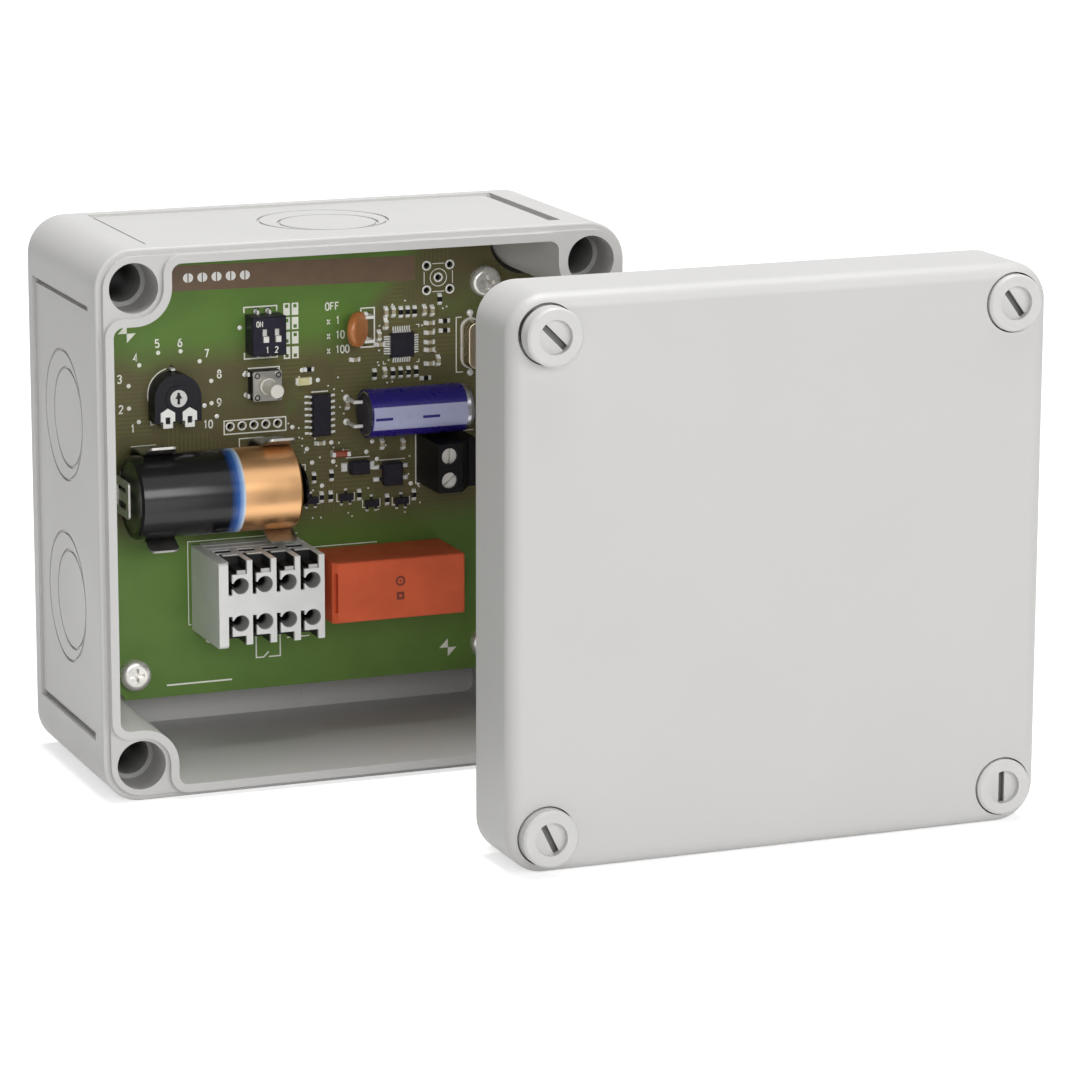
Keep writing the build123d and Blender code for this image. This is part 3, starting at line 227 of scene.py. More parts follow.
def step(tree, value, low, high, smooth="LINEAR"):
    """A socket that rises from 0 to 1 as the value goes from low to high."""
    ramp = add(tree, "ShaderNodeMapRange", {"Value": value, "From Min": low, "From Max": high},
               interpolation_type=smooth)
    return ramp.outputs[0]


def all_of(tree, *masks):
    """A socket that is 1 only where every mask is 1."""
    product = masks[0]
    for mask in masks[1:]:
        product = add(tree, "ShaderNodeMath", {0: product, 1: mask}, operation="MULTIPLY").outputs[0]
    return product


def between(tree, value, low, high, blur):
    """A socket that is 1 between low and high, and fades to 0 over blur inside both."""
    return all_of(tree, step(tree, value, low, low + blur), step(tree, value, high, high - blur))


def distance(tree, x, z, x0, z0):
    """A socket with the distance of x, z from x0, z0."""
    place = add(tree, "ShaderNodeCombineXYZ", {0: x, 1: z}).outputs[0]
    return add(tree, "ShaderNodeVectorMath", {0: place, 1: (x0, z0, 0)}, operation="DISTANCE").outputs["Value"]


def size_of(tree, value):
    """A socket with the value without its sign."""
    return add(tree, "ShaderNodeMath", {0: value}, operation="ABSOLUTE").outputs[0]


def seen_ray(tree):
    """A socket that is 1 for what the camera sees, straight or by way of metal or glass."""
    ray = add(tree, "ShaderNodeLightPath").outputs
    seen = ray["Is Camera Ray"]
    for kind in ("Is Glossy Ray", "Is Transmission Ray"):
        seen = add(tree, "ShaderNodeMath", {0: seen, 1: ray[kind]}, operation="MAXIMUM").outputs[0]
    return seen


def paint_over(material, factor, colour):
    """Lay a colour, or a socket that gives one, over a material where factor is 1."""
    tree, shader, under = base_colour(material)
    over = colour if isinstance(colour, bpy.types.NodeSocket) else rgba(colour)
    mixed = add(tree, "ShaderNodeMix", {"Factor": factor, 6: under, 7: over}, data_type="RGBA")
    tree.links.new(mixed.outputs[2], shader.inputs["Base Color"])


# Materials


def moulded_polystyrene(colours, sizes, name):
    """Impact polystyrene, injection moulded: a close even grain that keeps every highlight broad and soft."""
    return surface("polystyrene moulded " + name, colours.housing, shade=0.975, patch=30.0, roughness=(0.40, 0.48),
                   grain=sizes.housing_grain / MM, depth=0.006, ior=1.55)


def painted_shade_tubes(material):
    """A darker tone painted down the case's four screw tubes: painted shade where little light reaches.
    It stops at the tubes' floor, so the back of the case keeps its own colour."""
    tree = material.node_tree
    x, y, z = place_parts(tree)
    from_middle = distance(tree, size_of(tree, x), size_of(tree, z), TUBE_PLACE, TUBE_PLACE)
    in_tube = step(tree, from_middle, TUBE_RADIUS, TUBE_RADIUS - 0.0001)
    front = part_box("case")[0].y
    down = step(tree, y, front + 0.003, front + 0.020)
    off_floor = step(tree, y, 0.0001 - TUBE_FLOOR, -TUBE_FLOOR)
    paint_over(material, all_of(tree, in_tube, down, off_floor), linear("484844"))
    return material


def moulded_polyamide_screw(colours, name):
    """Polyamide, injection moulded: smoother than the case, so that the heads catch a small highlight, with
    painted shade in the bottom of the slot."""
    material = surface("polyamide moulded " + name, colours.lid_screws, shade=0.95, patch=5.0,
                       roughness=(0.30, 0.40), grain=0.6, depth=0.004, ior=1.53)
    tree = material.node_tree
    x, y, z = place_parts(tree)
    front, (middle_x, middle_z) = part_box(name)[0].y, centre(name)
    recess = 0.0034
    in_head = step(tree, distance(tree, x, z, middle_x * MM, middle_z * MM), recess, recess - 0.0001)
    down_slot = step(tree, y, front + 0.0013, front + 0.0020)
    above_shank = step(tree, y, front + 0.0027, front + 0.0026)
    # Painted shade: the bottom of the slot is darker
    paint_over(material, all_of(tree, in_head, down_slot, above_shank), linear("6E6D6B"))
    return material


def cast_foam():
    """Polyurethane foam cord, cast in place: dark, dry and full of small cells."""
    return surface("polyurethane foam cast", linear("3A3A3C"), shade=0.7, patch=1.2, roughness=(0.85, 0.95),
                   grain=0.5, depth=0.06)


def masked_laminate(colours, sizes):
    """Glass-epoxy laminate under solder mask: green over the copper planes, brown where none lies below,
    fine tracks just showing, a soft lacquer gloss, and pale dry sawn edges."""
    material = surface("glass epoxy solder mask", colours.mask_green, shade=0.86, patch=9.0,
                       roughness=(0.36, 0.46), grain=0.5, depth=0.004, ior=1.5, specular=0.25)
    tree = material.node_tree
    coordinates = add(tree, "ShaderNodeTexCoord").outputs
    place = coordinates["Object"]
    x, _, z = place_parts(tree)
    # Copper planes lie under the bottom and the top, where they come down further on the left
    rise = add(tree, "ShaderNodeMapRange", {"Value": x, "From Min": 0.007, "From Max": 0.026, "To Max": 0.022})
    level = add(tree, "ShaderNodeMath", {0: z, 1: rise.outputs[0]}, operation="SUBTRACT").outputs[0]
    cloud = add(tree, "ShaderNodeTexNoise", {"Vector": place, "Scale": 1 / (14 * MM), "Detail": 2.0})
    bare = all_of(tree, step(tree, level, 0.031, 0.023, "SMOOTHSTEP"), step(tree, z, -0.014, -0.005, "SMOOTHSTEP"),
                  step(tree, x, -0.050, -0.039, "SMOOTHSTEP"), step(tree, cloud.outputs[0], 0.05, 0.42))
    paint_over(material, bare, colours.mask_brown)
    # Tracks run level or upright, in separate blocks. They are drawn coarser than real ones, so that they show
    blocks = add(tree, "ShaderNodeTexVoronoi", {"Vector": place, "Scale": 1 / (9 * MM)}, distance="CHEBYCHEV")
    kind, shown, strength = add(tree, "ShaderNodeSeparateColor", {0: blocks.outputs["Color"]}).outputs
    level_wave, upright_wave = [
        add(tree, "ShaderNodeTexWave", {"Vector": place, "Scale": 2 * math.pi / 20 / sizes.track_pitch},
            bands_direction=direction).outputs[1] for direction in ("Z", "X")]
    wave = add(tree, "ShaderNodeMix", {"Factor": step(tree, kind, 0.78, 0.80), 2: level_wave, 3: upright_wave},
               data_type="FLOAT")
    tracks = all_of(tree, step(tree, wave.outputs[0], 0.55, 0.8), step(tree, shown, 0.35, 0.5), bare,
                    step(tree, strength, -1.2, 1.6))
    paint_over(material, tracks, linear("737042"))
    # The sawn edge shows where the surface doesn't face front or back
    facing = add(tree, "ShaderNodeSeparateXYZ", {0: coordinates["Normal"]}).outputs[1]
    paint_over(material, step(tree, size_of(tree, facing), 0.6, 0.3), colours.laminate)
    return material


def etched_strip(colours):
    """Bare oxidised copper under clear lacquer: a dark brown band with a dull sheen."""
    return surface("copper oxidised lacquered", colours.strip, shade=0.8, patch=5.0, roughness=(0.35, 0.5),
                   grain=0.4, depth=0.004, coat=0.2)


def printed_ink(colours):
    """Epoxy ink, screen printed: a thin flat film with a dry satin face."""
    return surface("epoxy ink screen printed", colours.ink, shade=0.94, patch=1.5, roughness=(0.5, 0.6),
                   grain=0.15, depth=0.004)


def reflowed_tin(colours):
    """Tin solder, reflowed: bright, with a faint frosting where it froze."""
    return surface("tin solder reflowed", colours.solder, shade=0.9, patch=0.5, roughness=(0.36, 0.5),
                   grain=0.2, depth=0.006, metallic=0.2)


def plated_steel(colours, name, shade, stretch=(1.0, 1.0, 1.0), roughness=(0.18, 0.3), metallic=1.0):
    """Sheet or turned steel, nickel plated: clear reflections with fine draw lines."""
    tone = [c * shade for c in colours.steel]
    return surface(name, tone, shade=0.88, patch=2.0, roughness=roughness, grain=0.25, depth=0.002,
                   stretch=stretch, metallic=metallic)


def printed_sleeve(colours):
    """Polyester film sleeve, printed and shrunk: glossy black, a narrow ring that runs from blue to white, and
    a metallised copper part with a broad sheen."""
    material = surface("polyester sleeve printed", colours.sleeve_black, shade=1.3, patch=5.0,
                       roughness=(0.16, 0.22), grain=1.5, depth=0.003)
    tree = material.node_tree
    shader = tree.nodes["Principled BSDF"]
    x = place_parts(tree)[0]
    ring, copper = -0.0229, -0.0196
    blue = colours.sleeve_blue
    bands = add(tree, "ShaderNodeValToRGB", {"Fac": step(tree, x, ring, copper)})
    elements = bands.color_ramp.elements
    elements[0].color = rgba(blue, 0.02)
    elements[1].position, elements[1].color = 0.97, rgba(linear("F2F6FC"))
    for place, colour in ((0.3, rgba(blue, 0.45)), (0.55, rgba(blue)), (0.8, rgba(linear("9CC0EE")))):
        elements.new(place).color = colour
    paint_over(material, step(tree, x, ring, ring + 0.0004), bands.outputs[0])
    foil = step(tree, x, copper - 0.00015, copper)
    paint_over(material, foil, colours.sleeve_copper)
    tree.links.new(foil, shader.inputs["Metallic"])
    gloss = shader.inputs["Roughness"].links[0].from_socket
    duller = add(tree, "ShaderNodeMath", {0: foil, 1: 0.14, 2: gloss}, operation="MULTIPLY_ADD")
    tree.links.new(duller.outputs[0], shader.inputs["Roughness"])
    return material


def black_moulding(name, colour, roughness=(0.4, 0.55)):
    """A filled plastic, rubber or glaze, moulded black: a satin face that mirrors little."""
    return surface(name, colour, shade=1.3, patch=1.5, roughness=roughness, grain=0.25, depth=0.006,
                   specular=0.22)


def shrunk_sleeve(colours):
    """PVC sleeve, printed and shrunk: violet and glossy, with a pale stripe that marks the negative side."""
    material = surface("vinyl sleeve shrunk", colours.capacitor_violet, shade=0.85, patch=3.0,
                       roughness=(0.25, 0.35), grain=0.8, depth=0.006, specular=0.35)
    tree = material.node_tree
    x, y, z = place_parts(tree)
    low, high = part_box("capacitor_sleeve")
    middle = (low.y + high.y) / 2
    stripe_low, stripe_high = 0.01045, 0.0154
    stripe = all_of(tree, step(tree, y, middle, middle - 0.0002), between(tree, z, stripe_low, stripe_high, 0.00015),
                    step(tree, x, low.x + 0.0002, low.x + 0.0004))
    paint_over(material, stripe, colours.capacitor_stripe)
    return material


def moulded_terminal(colours):
    """Polyamide, injection moulded: pale grey and satin outside, with painted shade: mid grey in the funnels,
    and dark down in them and in the slots."""
    material = surface("polyamide moulded terminal", colours.terminal, shade=0.94, patch=4.0,
                       roughness=(0.42, 0.52), grain=0.4, depth=0.006, ior=1.53, specular=0.35)
    tree = material.node_tree
    x, y, z = place_parts(tree)
    low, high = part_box("wire_terminal_housing")
    rim, blur, pitch = 0.0006, 0.0001, 0.00508
    inside = all_of(tree, between(tree, x, low.x + rim, high.x - rim, blur),
                    step(tree, z, high.z - 0.0001, high.z - 0.0003))
    # How far across a place is from its funnel's middle, and how far up or down
    start = -0.01355 - 2 * pitch
    middle_x, middle_z, row, funnel_radius = start + pitch / 2, -0.0211, 0.00385, 0.00178
    wrapped = add(tree, "ShaderNodeMath", {0: x, 1: start + pitch, 2: start}, operation="WRAP").outputs[0]
    from_middle = add(tree, "ShaderNodeMath", {0: z, 1: middle_z}, operation="SUBTRACT").outputs[0]
    reach = distance(tree, wrapped, size_of(tree, from_middle), middle_x, row)
    funnel = all_of(tree, step(tree, reach, funnel_radius, funnel_radius - 0.00006),
                    step(tree, wrapped, middle_x - 0.00105, middle_x - 0.00095))
    # Painted shade: the depths behind the front face at which each tone starts and is whole
    paint_over(material, all_of(tree, funnel, step(tree, y, low.y + 0.0001, low.y + 0.0004)), linear("9A9A98"))
    elsewhere = add(tree, "ShaderNodeMath", {0: 1.0, 1: funnel}, operation="SUBTRACT").outputs[0]
    shallow = all_of(tree, elsewhere, step(tree, y, low.y + 0.0002, low.y + 0.0010))
    deep = all_of(tree, funnel, step(tree, y, low.y + 0.0026, low.y + 0.0040))
    dark = add(tree, "ShaderNodeMath", {0: shallow, 1: deep}, operation="MAXIMUM").outputs[0]
    paint_over(material, all_of(tree, inside, dark), linear("1C1C1C"))
    return material


# Meshes


def at(x, z, w=0.0):
    """The point x, z on the board's face and w in front of it."""
    return Vector((x * MM, BOARD_Y - w * MM, z * MM))


def patch(bm, points, w):
    """A flat face through the points, which go anticlockwise as seen from the front."""
    bm.faces.new([bm.verts.new(at(x, z, w)) for x, z in points])


def ribbon(bm, points, width, w):
    """A flat line through the points, mitred at its corners and closed if it ends where it starts."""
    closed = tuple(points[0]) == tuple(points[-1])
    path = [Vector(p) for p in (points[:-1] if closed else points)]
    pairs = []
    for i, here in enumerate(path):
        coming = (here - path[i - 1]).normalized() if closed or i > 0 else None
        going = (path[(i + 1) % len(path)] - here).normalized() if closed or i < len(path) - 1 else coming
        coming = coming or going
        middle = (coming + going).normalized()
        across = Vector((-middle.y, middle.x))
        reach = width / 2 / max(across.dot(Vector((-coming.y, coming.x))), 0.5)
        pairs.append([bm.verts.new(at(*(here + across * side * reach), w)) for side in (-1, 1)])
    for i in range(len(pairs) if closed else len(pairs) - 1):
        (a, b), (c, d) = pairs[i], pairs[(i + 1) % len(pairs)]
        bm.faces.new((a, c, d, b))


def box_line(bm, x0, z0, x1, z1, width, w):
    """A rectangle's outline."""
    ribbon(bm, [(x0, z0), (x1, z0), (x1, z1), (x0, z1), (x0, z0)], width, w)


def arc(x, z, radius, start, end, parts=16):
    """Points along an arc, its angles in degrees anticlockwise from +X."""
    angles = [math.radians(start + (end - start) * i / parts) for i in range(parts + 1)]
    points = [(x + radius * math.cos(a), z + radius * math.sin(a)) for a in angles]
    if abs(end - start) == 360:
        points[-1] = points[0]
    return points


def dot(bm, x, z, radius, w):
    """A flat round dot."""
    patch(bm, arc(x, z, radius, 0, 360, 14)[:-1], w)


def bead(bm, x, z, radius, height, hole=0.0):
    """A round blob of solder, or a ring of it where it has a hole."""
    steps, sides = 4, 14
    rings = []
    for i in range(steps + 1):
        lift = math.sin(math.pi * i / steps) if hole else math.sin(math.pi / 2 * i / steps)
        r = radius + (hole - radius) * i / steps if hole else radius * math.cos(math.pi / 2 * i / steps)
        if r < 1e-6:
            rings.append([bm.verts.new(at(x, z, height * lift))])
        else:
            rings.append([bm.verts.new(at(*p, height * lift)) for p in arc(x, z, r, 0, 360, sides)[:-1]])
    for outer, inner in zip(rings, rings[1:]):
        for k in range(sides):
            j = (k + 1) % sides
            corners = [outer[k], outer[j]] + ([inner[j], inner[k]] if len(inner) > 1 else [inner[0]])
            bm.faces.new(corners)


def block(bm, base, top, low, high):
    """A block whose base and top are x0, z0, x1, z1 rectangles, low and high in front of the board."""
    corners = []
    for (x0, z0, x1, z1), w in ((base, low), (top, high)):
        corners.append([bm.verts.new(at(x, z, w)) for x, z in ((x0, z0), (x1, z0), (x1, z1), (x0, z1))])
    bottom, upper = corners
    bm.faces.new(upper)
    bm.faces.new(bottom[::-1])
    for i in range(4):
        j = (i + 1) % 4
        bm.faces.new((bottom[i], bottom[j], upper[j], upper[i]))


def tapered_block(bm, x, z, half, taper, high):
    """A block on the board round x, z, with half its base's size and how far its top draws in, each way."""
    across, up = half
    block(bm, (x - across, z - up, x + across, z + up),
          (x - across + taper[0], z - up + taper[1], x + across - taper[0], z + up - taper[1]), 0, high)


# Each character as strokes on a field 4 wide and 6 high
STROKES = {
    "0": [[(0, 1.4), (0, 4.6), (1.2, 6), (2.8, 6), (4, 4.6), (4, 1.4), (2.8, 0), (1.2, 0), (0, 1.4)]],
    "1": [[(0.9, 4.7), (2.3, 6), (2.3, 0)]],
    "2": [[(0, 4.8), (1, 6), (3, 6), (4, 4.9), (4, 4), (0, 0), (4, 0)]],
    "3": [[(0, 5), (1, 6), (3, 6), (4, 5), (4, 4), (2.4, 3.1), (4, 2.2), (4, 1), (3, 0), (1, 0), (0, 1)]],
    "4": [[(3, 0), (3, 6), (0, 1.8), (4.2, 1.8)]],
    "5": [[(4, 6), (0.5, 6), (0.2, 3.3), (2.8, 3.6), (4, 2.6), (4, 1), (3, 0), (1, 0), (0, 0.9)]],
    "6": [[(3.4, 6), (1.2, 4.8), (0, 2.6), (0, 1), (1, 0), (3, 0), (4, 1), (4, 2.4), (3, 3.4), (1.2, 3.4),
           (0, 2.4)]],
    "7": [[(0, 6), (4, 6), (1.5, 0)]],
    "8": [[(2, 3.2), (0.4, 4.1), (0.4, 5.1), (1.4, 6), (2.6, 6), (3.6, 5.1), (3.6, 4.1), (2, 3.2), (0, 2.2),
           (0, 1), (1, 0), (3, 0), (4, 1), (4, 2.2), (2, 3.2)]],
    "9": [[(0.6, 0), (2.8, 1.2), (4, 3.4), (4, 5), (3, 6), (1, 6), (0, 5), (0, 3.6), (1, 2.6), (2.8, 2.6),
           (4, 3.6)]],
    "N": [[(0, 0), (0, 6), (4, 0), (4, 6)]],
    "F": [[(0, 0), (0, 6), (3.8, 6)], [(0, 3.2), (3, 3.2)]],
    "x": [[(0.2, 0), (3.4, 4)], [(0.2, 4), (3.4, 0)]],
}
STROKES["O"] = STROKES["0"]


def lettering(bm, text, x, z, height, line, w):
    """Narrow characters side by side, centred on x, z. Only numbers, ON, OFF and a times sign are there."""
    unit = height / 6
    slim = 0.72 * unit
    gap = 1.9 * slim
    advance = 4 * slim + gap
    left = x - (advance * len(text) - gap) / 2
    for i, character in enumerate(text):
        for stroke in STROKES[character]:
            points = [(left + i * advance + u * slim, z - height / 2 + v * unit) for u, v in stroke]
            ribbon(bm, points, line, w)


def piece(name, bm, material, body, film=0.0, bevel=0.0):
    """Make an object of the mesh, ride it on a body, and give a film its thickness or a block its soft edges."""
    mesh = bpy.data.meshes.new(name)
    bm.to_mesh(mesh)
    bm.free()
    mesh.materials.append(material)
    made = bpy.data.objects.new(name, mesh)
    bpy.context.scene.collection.objects.link(made)
    if film:
        solid = made.modifiers.new("film", "SOLIDIFY")
        solid.thickness = film
        solid.offset = -1.0
    if bevel:
        soft = made.modifiers.new("soft edges", "BEVEL")
        soft.width = bevel * MM
        soft.segments = 2
    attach(made, body)


def dress(material, *names):
    """Give CAD nodes a material."""
    for name in names:
        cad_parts[name].material_slots[0].material = material


def lumps(name):
    """The separate solids of a CAD node: each one's x0, z0, x1, z1 and its height above the board."""
    bm = bmesh.new()
    bm.from_mesh(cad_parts[name].data)
    bmesh.ops.remove_doubles(bm, verts=bm.verts, dist=1e-6)
    left = set(bm.verts)
    found = []
    while left:
        group = set()
        reach = [left.pop()]
        while reach:
            vertex = reach.pop()
            group.add(vertex)
            for edge in vertex.link_edges:
                other = edge.other_vert(vertex)
                if other in left:
                    left.remove(other)
                    reach.append(other)
        xs = [v.co.x / MM for v in group]
        ys = [(BOARD_Y - v.co.y) / MM for v in group]
        zs = [v.co.z / MM for v in group]
        found.append(((min(xs), min(zs), max(xs), max(zs)), max(ys)))
    bm.free()
    found.sort()
    return found


def centre(name):
    """A CAD node's middle as x, z on the board's face."""
    low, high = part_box(name)
    return (low.x + high.x) / 2 / MM, (low.z + high.z) / 2 / MM


def front_of(name):
    """How far in front of the board's face a CAD node reaches."""
    return (BOARD_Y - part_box(name)[0].y) / MM


# Operators


class RELAYBOX_OT_stage(bpy.types.Operator):
    """Floor, soft lamps, white surroundings and the camera at the photograph's viewing angle"""

    bl_idname = "relaybox.stage"
    bl_label = "Stage and Camera"

    def execute(self, context):
        scene = context.scene
        stage = scene.relay_box_stage
        scene.view_settings.view_transform = "Standard"

        world = bpy.data.worlds.new("surroundings")
        world.use_nodes = True
        tree = world.node_tree
        tree.nodes.clear()
        light = add(tree, "ShaderNodeBackground", {"Color": (1, 1, 1, 1), "Strength": stage.surroundings})
        white = add(tree, "ShaderNodeBackground", {"Color": (1, 1, 1, 1), "Strength": 1.0})
        mixed = add(tree, "ShaderNodeMixShader", {0: seen_ray(tree), 1: light.outputs[0], 2: white.outputs[0]})
        add(tree, "ShaderNodeOutputWorld", {"Surface": mixed.outputs[0]})
        scene.world = world

        middle = (CAD_BOX[0] + CAD_BOX[1]) / 2
        lamps = (("top lamp", Vector((0.10, -0.05, 1.25)), 0.8, 0.8, stage.key_power),
                 ("front lamp", Vector((0.06, -1.25, 0.40)), 1.5, 0.45, stage.fill_power))
        for name, place, width, height, power in lamps:
            data = bpy.data.lights.new(name, "AREA")
            data.shape = "RECTANGLE"
            data.size = width
            data.size_y = height
            data.energy = power
            lamp = bpy.data.objects.new(name, data)
            lamp.location = place
            lamp.rotation_euler = (middle - place).to_track_quat("-Z", "Y").to_euler()
            scene.collection.objects.link(lamp)

        self.make_floor(context, CAD_BOX[0].z)
        self.make_camera(context, stage)
        return {"FINISHED"}

    def make_floor(self, context, height):
        """A wide pale floor at this height."""
        bm = bmesh.new()
        reach = 4.0
        bmesh.ops.create_grid(bm, x_segments=8, y_segments=8, size=reach,
                              matrix=Matrix.Translation((0, reach / 2, height)))
        mesh = bpy.data.meshes.new("floor")
        bm.to_mesh(mesh)
        bm.free()
        floor = bpy.data.objects.new("floor", mesh)
        context.scene.collection.objects.link(floor)
        # White board, matt: bright enough to vanish into the white surroundings, but it keeps the shadow
        material = bpy.data.materials.new("white board matt")
        material.use_nodes = True
        tree = material.node_tree
        tree.nodes.clear()
        # It glows more further off, where the lamps reach less, so that it meets the white without an edge
        place = add(tree, "ShaderNodeTexCoord").outputs["Object"]
        away = add(tree, "ShaderNodeVectorMath", {0: place}, operation="LENGTH")
        level = add(tree, "ShaderNodeMapRange", {"Value": away.outputs["Value"], "From Min": 0.3, "From Max": 1.3,
                                                 "To Min": 0.58, "To Max": 0.88})
        matt = add(tree, "ShaderNodeBsdfDiffuse", {"Color": (0.82, 0.82, 0.82, 1)})
        glow = add(tree, "ShaderNodeEmission", {
            "Color": (1, 1, 1, 1), "Strength": all_of(tree, seen_ray(tree), level.outputs[0])})
        both = add(tree, "ShaderNodeAddShader", {0: matt.outputs[0], 1: glow.outputs[0]})
        add(tree, "ShaderNodeOutputMaterial", {"Surface": both.outputs[0]})
        mesh.materials.append(material)

    def make_camera(self, context, stage):
        """A camera turned from straight at the wall, then tilted, then rolled."""
        turn, tilt, roll = stage.camera_turn, stage.camera_tilt, stage.camera_roll
        forward = Vector((math.sin(turn) * math.cos(tilt), math.cos(turn) * math.cos(tilt), -math.sin(tilt)))
        right = Vector((math.cos(turn), -math.sin(turn), 0))
        up = right.cross(forward)
        side = right * math.cos(roll) + up * math.sin(roll)
        top = up * math.cos(roll) - right * math.sin(roll)
        data = bpy.data.cameras.new("camera")
        data.lens = stage.lens
        data.sensor_width = 36.0
        data.clip_end = 20.0
        camera = bpy.data.objects.new("camera", data)
        turned = Matrix((side, top, -forward)).transposed()
        camera.matrix_world = Matrix.Translation(stage.camera_place) @ turned.to_4x4()
        context.scene.collection.objects.link(camera)
        context.scene.camera = camera


class RELAYBOX_OT_housing(bpy.types.Operator):
    """Finishes of the case, the lid, its gasket and its four screws"""

    bl_idname = "relaybox.housing"
    bl_label = "Case and Lid"

    def execute(self, context):
        colours = context.scene.relay_box_colours
        sizes = context.scene.relay_box_sizes
        # The case gets painted shade down its four screw tubes
        dress(painted_shade_tubes(moulded_polystyrene(colours, sizes, "case")), "case")
        dress(moulded_polystyrene(colours, sizes, "lid"), "lid")
        dress(cast_foam(), "lid_gasket")
        for corner in ("upper_left", "lower_left", "upper_right", "lower_right"):
            screw = "lid_screw_" + corner
            dress(moulded_polyamide_screw(colours, screw), screw)
        return {"FINISHED"}


class RELAYBOX_OT_board(bpy.types.Operator):
    """The board's lacquer, dark strip, printed outlines and scale, and the board screws"""

    bl_idname = "relaybox.board"
    bl_label = "Board and Print"

    def execute(self, context):
        colours = context.scene.relay_box_colours
        sizes = context.scene.relay_box_sizes
        dress(masked_laminate(colours, sizes), "circuit_board")
        # Zinc, plated bright and passivated: paler than bare steel, with small sharp highlights
        dress(plated_steel(colours, "steel zinc plated screw", 1.4, metallic=0.6), "board_screws")

        film = sizes.ink_film
        w = film / MM
        strip = bmesh.new()
        patch(strip, [(-29.5, 40.2), (23.0, 39.4), (23.0, 44.6), (-29.5, 45.4)], w * 0.6)
        piece("antenna_strip", strip, etched_strip(colours), CASE, film=film * 0.6)

        bm = bmesh.new()
        line = sizes.ink_line / MM
        self.dial_scale(bm, sizes, line, w)
        self.part_outlines(bm, line, w)
        self.switch_table(bm, line, w)
        self.marks(bm, line, w)
        piece("board_print", bm, printed_ink(colours), CASE, film=film)
        return {"FINISHED"}

    def dial_scale(self, bm, sizes, line, w):
        """Ten dots round the dial and the numbers 1 to 10 outside them."""
        height = sizes.digit_height / MM
        dots = ((-36.4, 14.0), (-38.4, 16.9), (-38.4, 21.5), (-36.1, 25.6), (-32.1, 27.9), (-27.4, 27.9),
                (-23.4, 25.6), (-21.0, 21.4), (-21.0, 16.8), (-19.9, 14.0))
        numbers = ((-37.7, 12.7), (-40.1, 16.8), (-40.3, 23.0), (-36.9, 27.2), (-32.3, 29.8), (-27.5, 29.7),
                   (-21.9, 27.1), (-19.3, 22.7), (-19.4, 16.8), (-21.8, 12.5))
        for i in range(10):
            dot(bm, *dots[i], sizes.dial_dot / MM, w)
            lettering(bm, str(i + 1), *numbers[i], height, line, w)

    def part_outlines(self, bm, line, w):
        """Outlines round the parts, partly hidden by them, each with its share of the line's width."""
        dial_x, dial_z = centre("trimmer_base")
        chip_x, chip_z = centre("logic_chip")
        diode_x, diode_z = centre("power_diode")
        bridge_x, bridge_z = centre("bridge_rectifier")
        dial = arc(dial_x + 0.3, dial_z + 0.2, 5.3, 105, 200)
        outlines = [
            (0.8, dial + [(dial_x - 4.4, 13.2), (dial_x - 3.7, 13.2)]),
            # Code switch and button
            (1.0, [(-13.9, 34.9), (-13.9, 36.0), (-6.9, 36.0), (-6.9, 34.9)]),
            (1.0, [(-6.9, 26.7), (-6.9, 25.4), (-13.9, 25.4), (-13.9, 26.7)]),
            (1.0, [(-13.2, 23.4), (-6.5, 23.4), (-6.5, 22.8)]),
            # Crystal and chip
            (0.8, [(33.2, 31.1), (32.0, 31.1), (32.0, 19.6), (33.5, 19.6)]),
            (1.0, [(chip_x - 1.8, chip_z + 4.7), (chip_x + 1.8, chip_z + 4.7)]),
            # Wire terminal and relay
            (0.6, [(-2.9, -11.6), (-26.5, -11.6), (-26.5, -29.0), (-25.9, -29.0)]),
            (0.7, [(-1.3, -14.85), (14.4, -14.85)]),
            (1.0, [(-5.4, -33.5), (-0.5, -33.5)]),
            # Screw terminal, battery contact, diode and rectifier
            (0.8, [(32.9, 7.8), (23.0, 7.8), (23.0, -3.2), (24.5, -3.2)]),
            (0.8, [(32.9, 7.3), (35.8, 7.3)]),
            (0.8, [(-1.9, 2.6), (-1.1, 2.6), (-1.1, 1.4)]),
            (0.7, [(diode_x - 2.6, diode_z + 1.9), (diode_x + 2.6, diode_z + 1.9)]),
            (0.7, [(bridge_x - 2.4, bridge_z + 2.7), (bridge_x + 3.2, bridge_z + 2.7)]),
        ]
        for (x0, z0, x1, z1), _ in lumps("transistors"):
            x, z = (x0 + x1) / 2, (z0 + z1) / 2
            for side in (-1, 1):
                corner = [(x + side * 1.9, z + 0.8), (x + side * 1.9, z - 0.9), (x + side * 1.3, z - 0.9)]
                outlines.append((0.7, corner[::-side]))
        controller_x, controller_z = centre("microcontroller")
        for right in (-1, 1):
            for up in (-1, 1):
                x, z = controller_x + right * 3.9, controller_z + up * 3.9
                outlines.append((0.6, [(x, z - up * 0.6), (x, z), (x - right * 0.6, z)][::-right * up]))
        for weight, points in outlines:
            ribbon(bm, points, line * weight, w)
        # Row of holes, battery clips and fuse
        box_line(bm, -18.4, 10.1, -5.2, 12.9, line, w)
        for x in (-35.5, -12.7):
            box_line(bm, x - 2.5, -8.2, x + 2.5, 9.0, line * 0.8, w)
        box_line(bm, 11.2, 26.2, 14.1, 34.3, line, w)

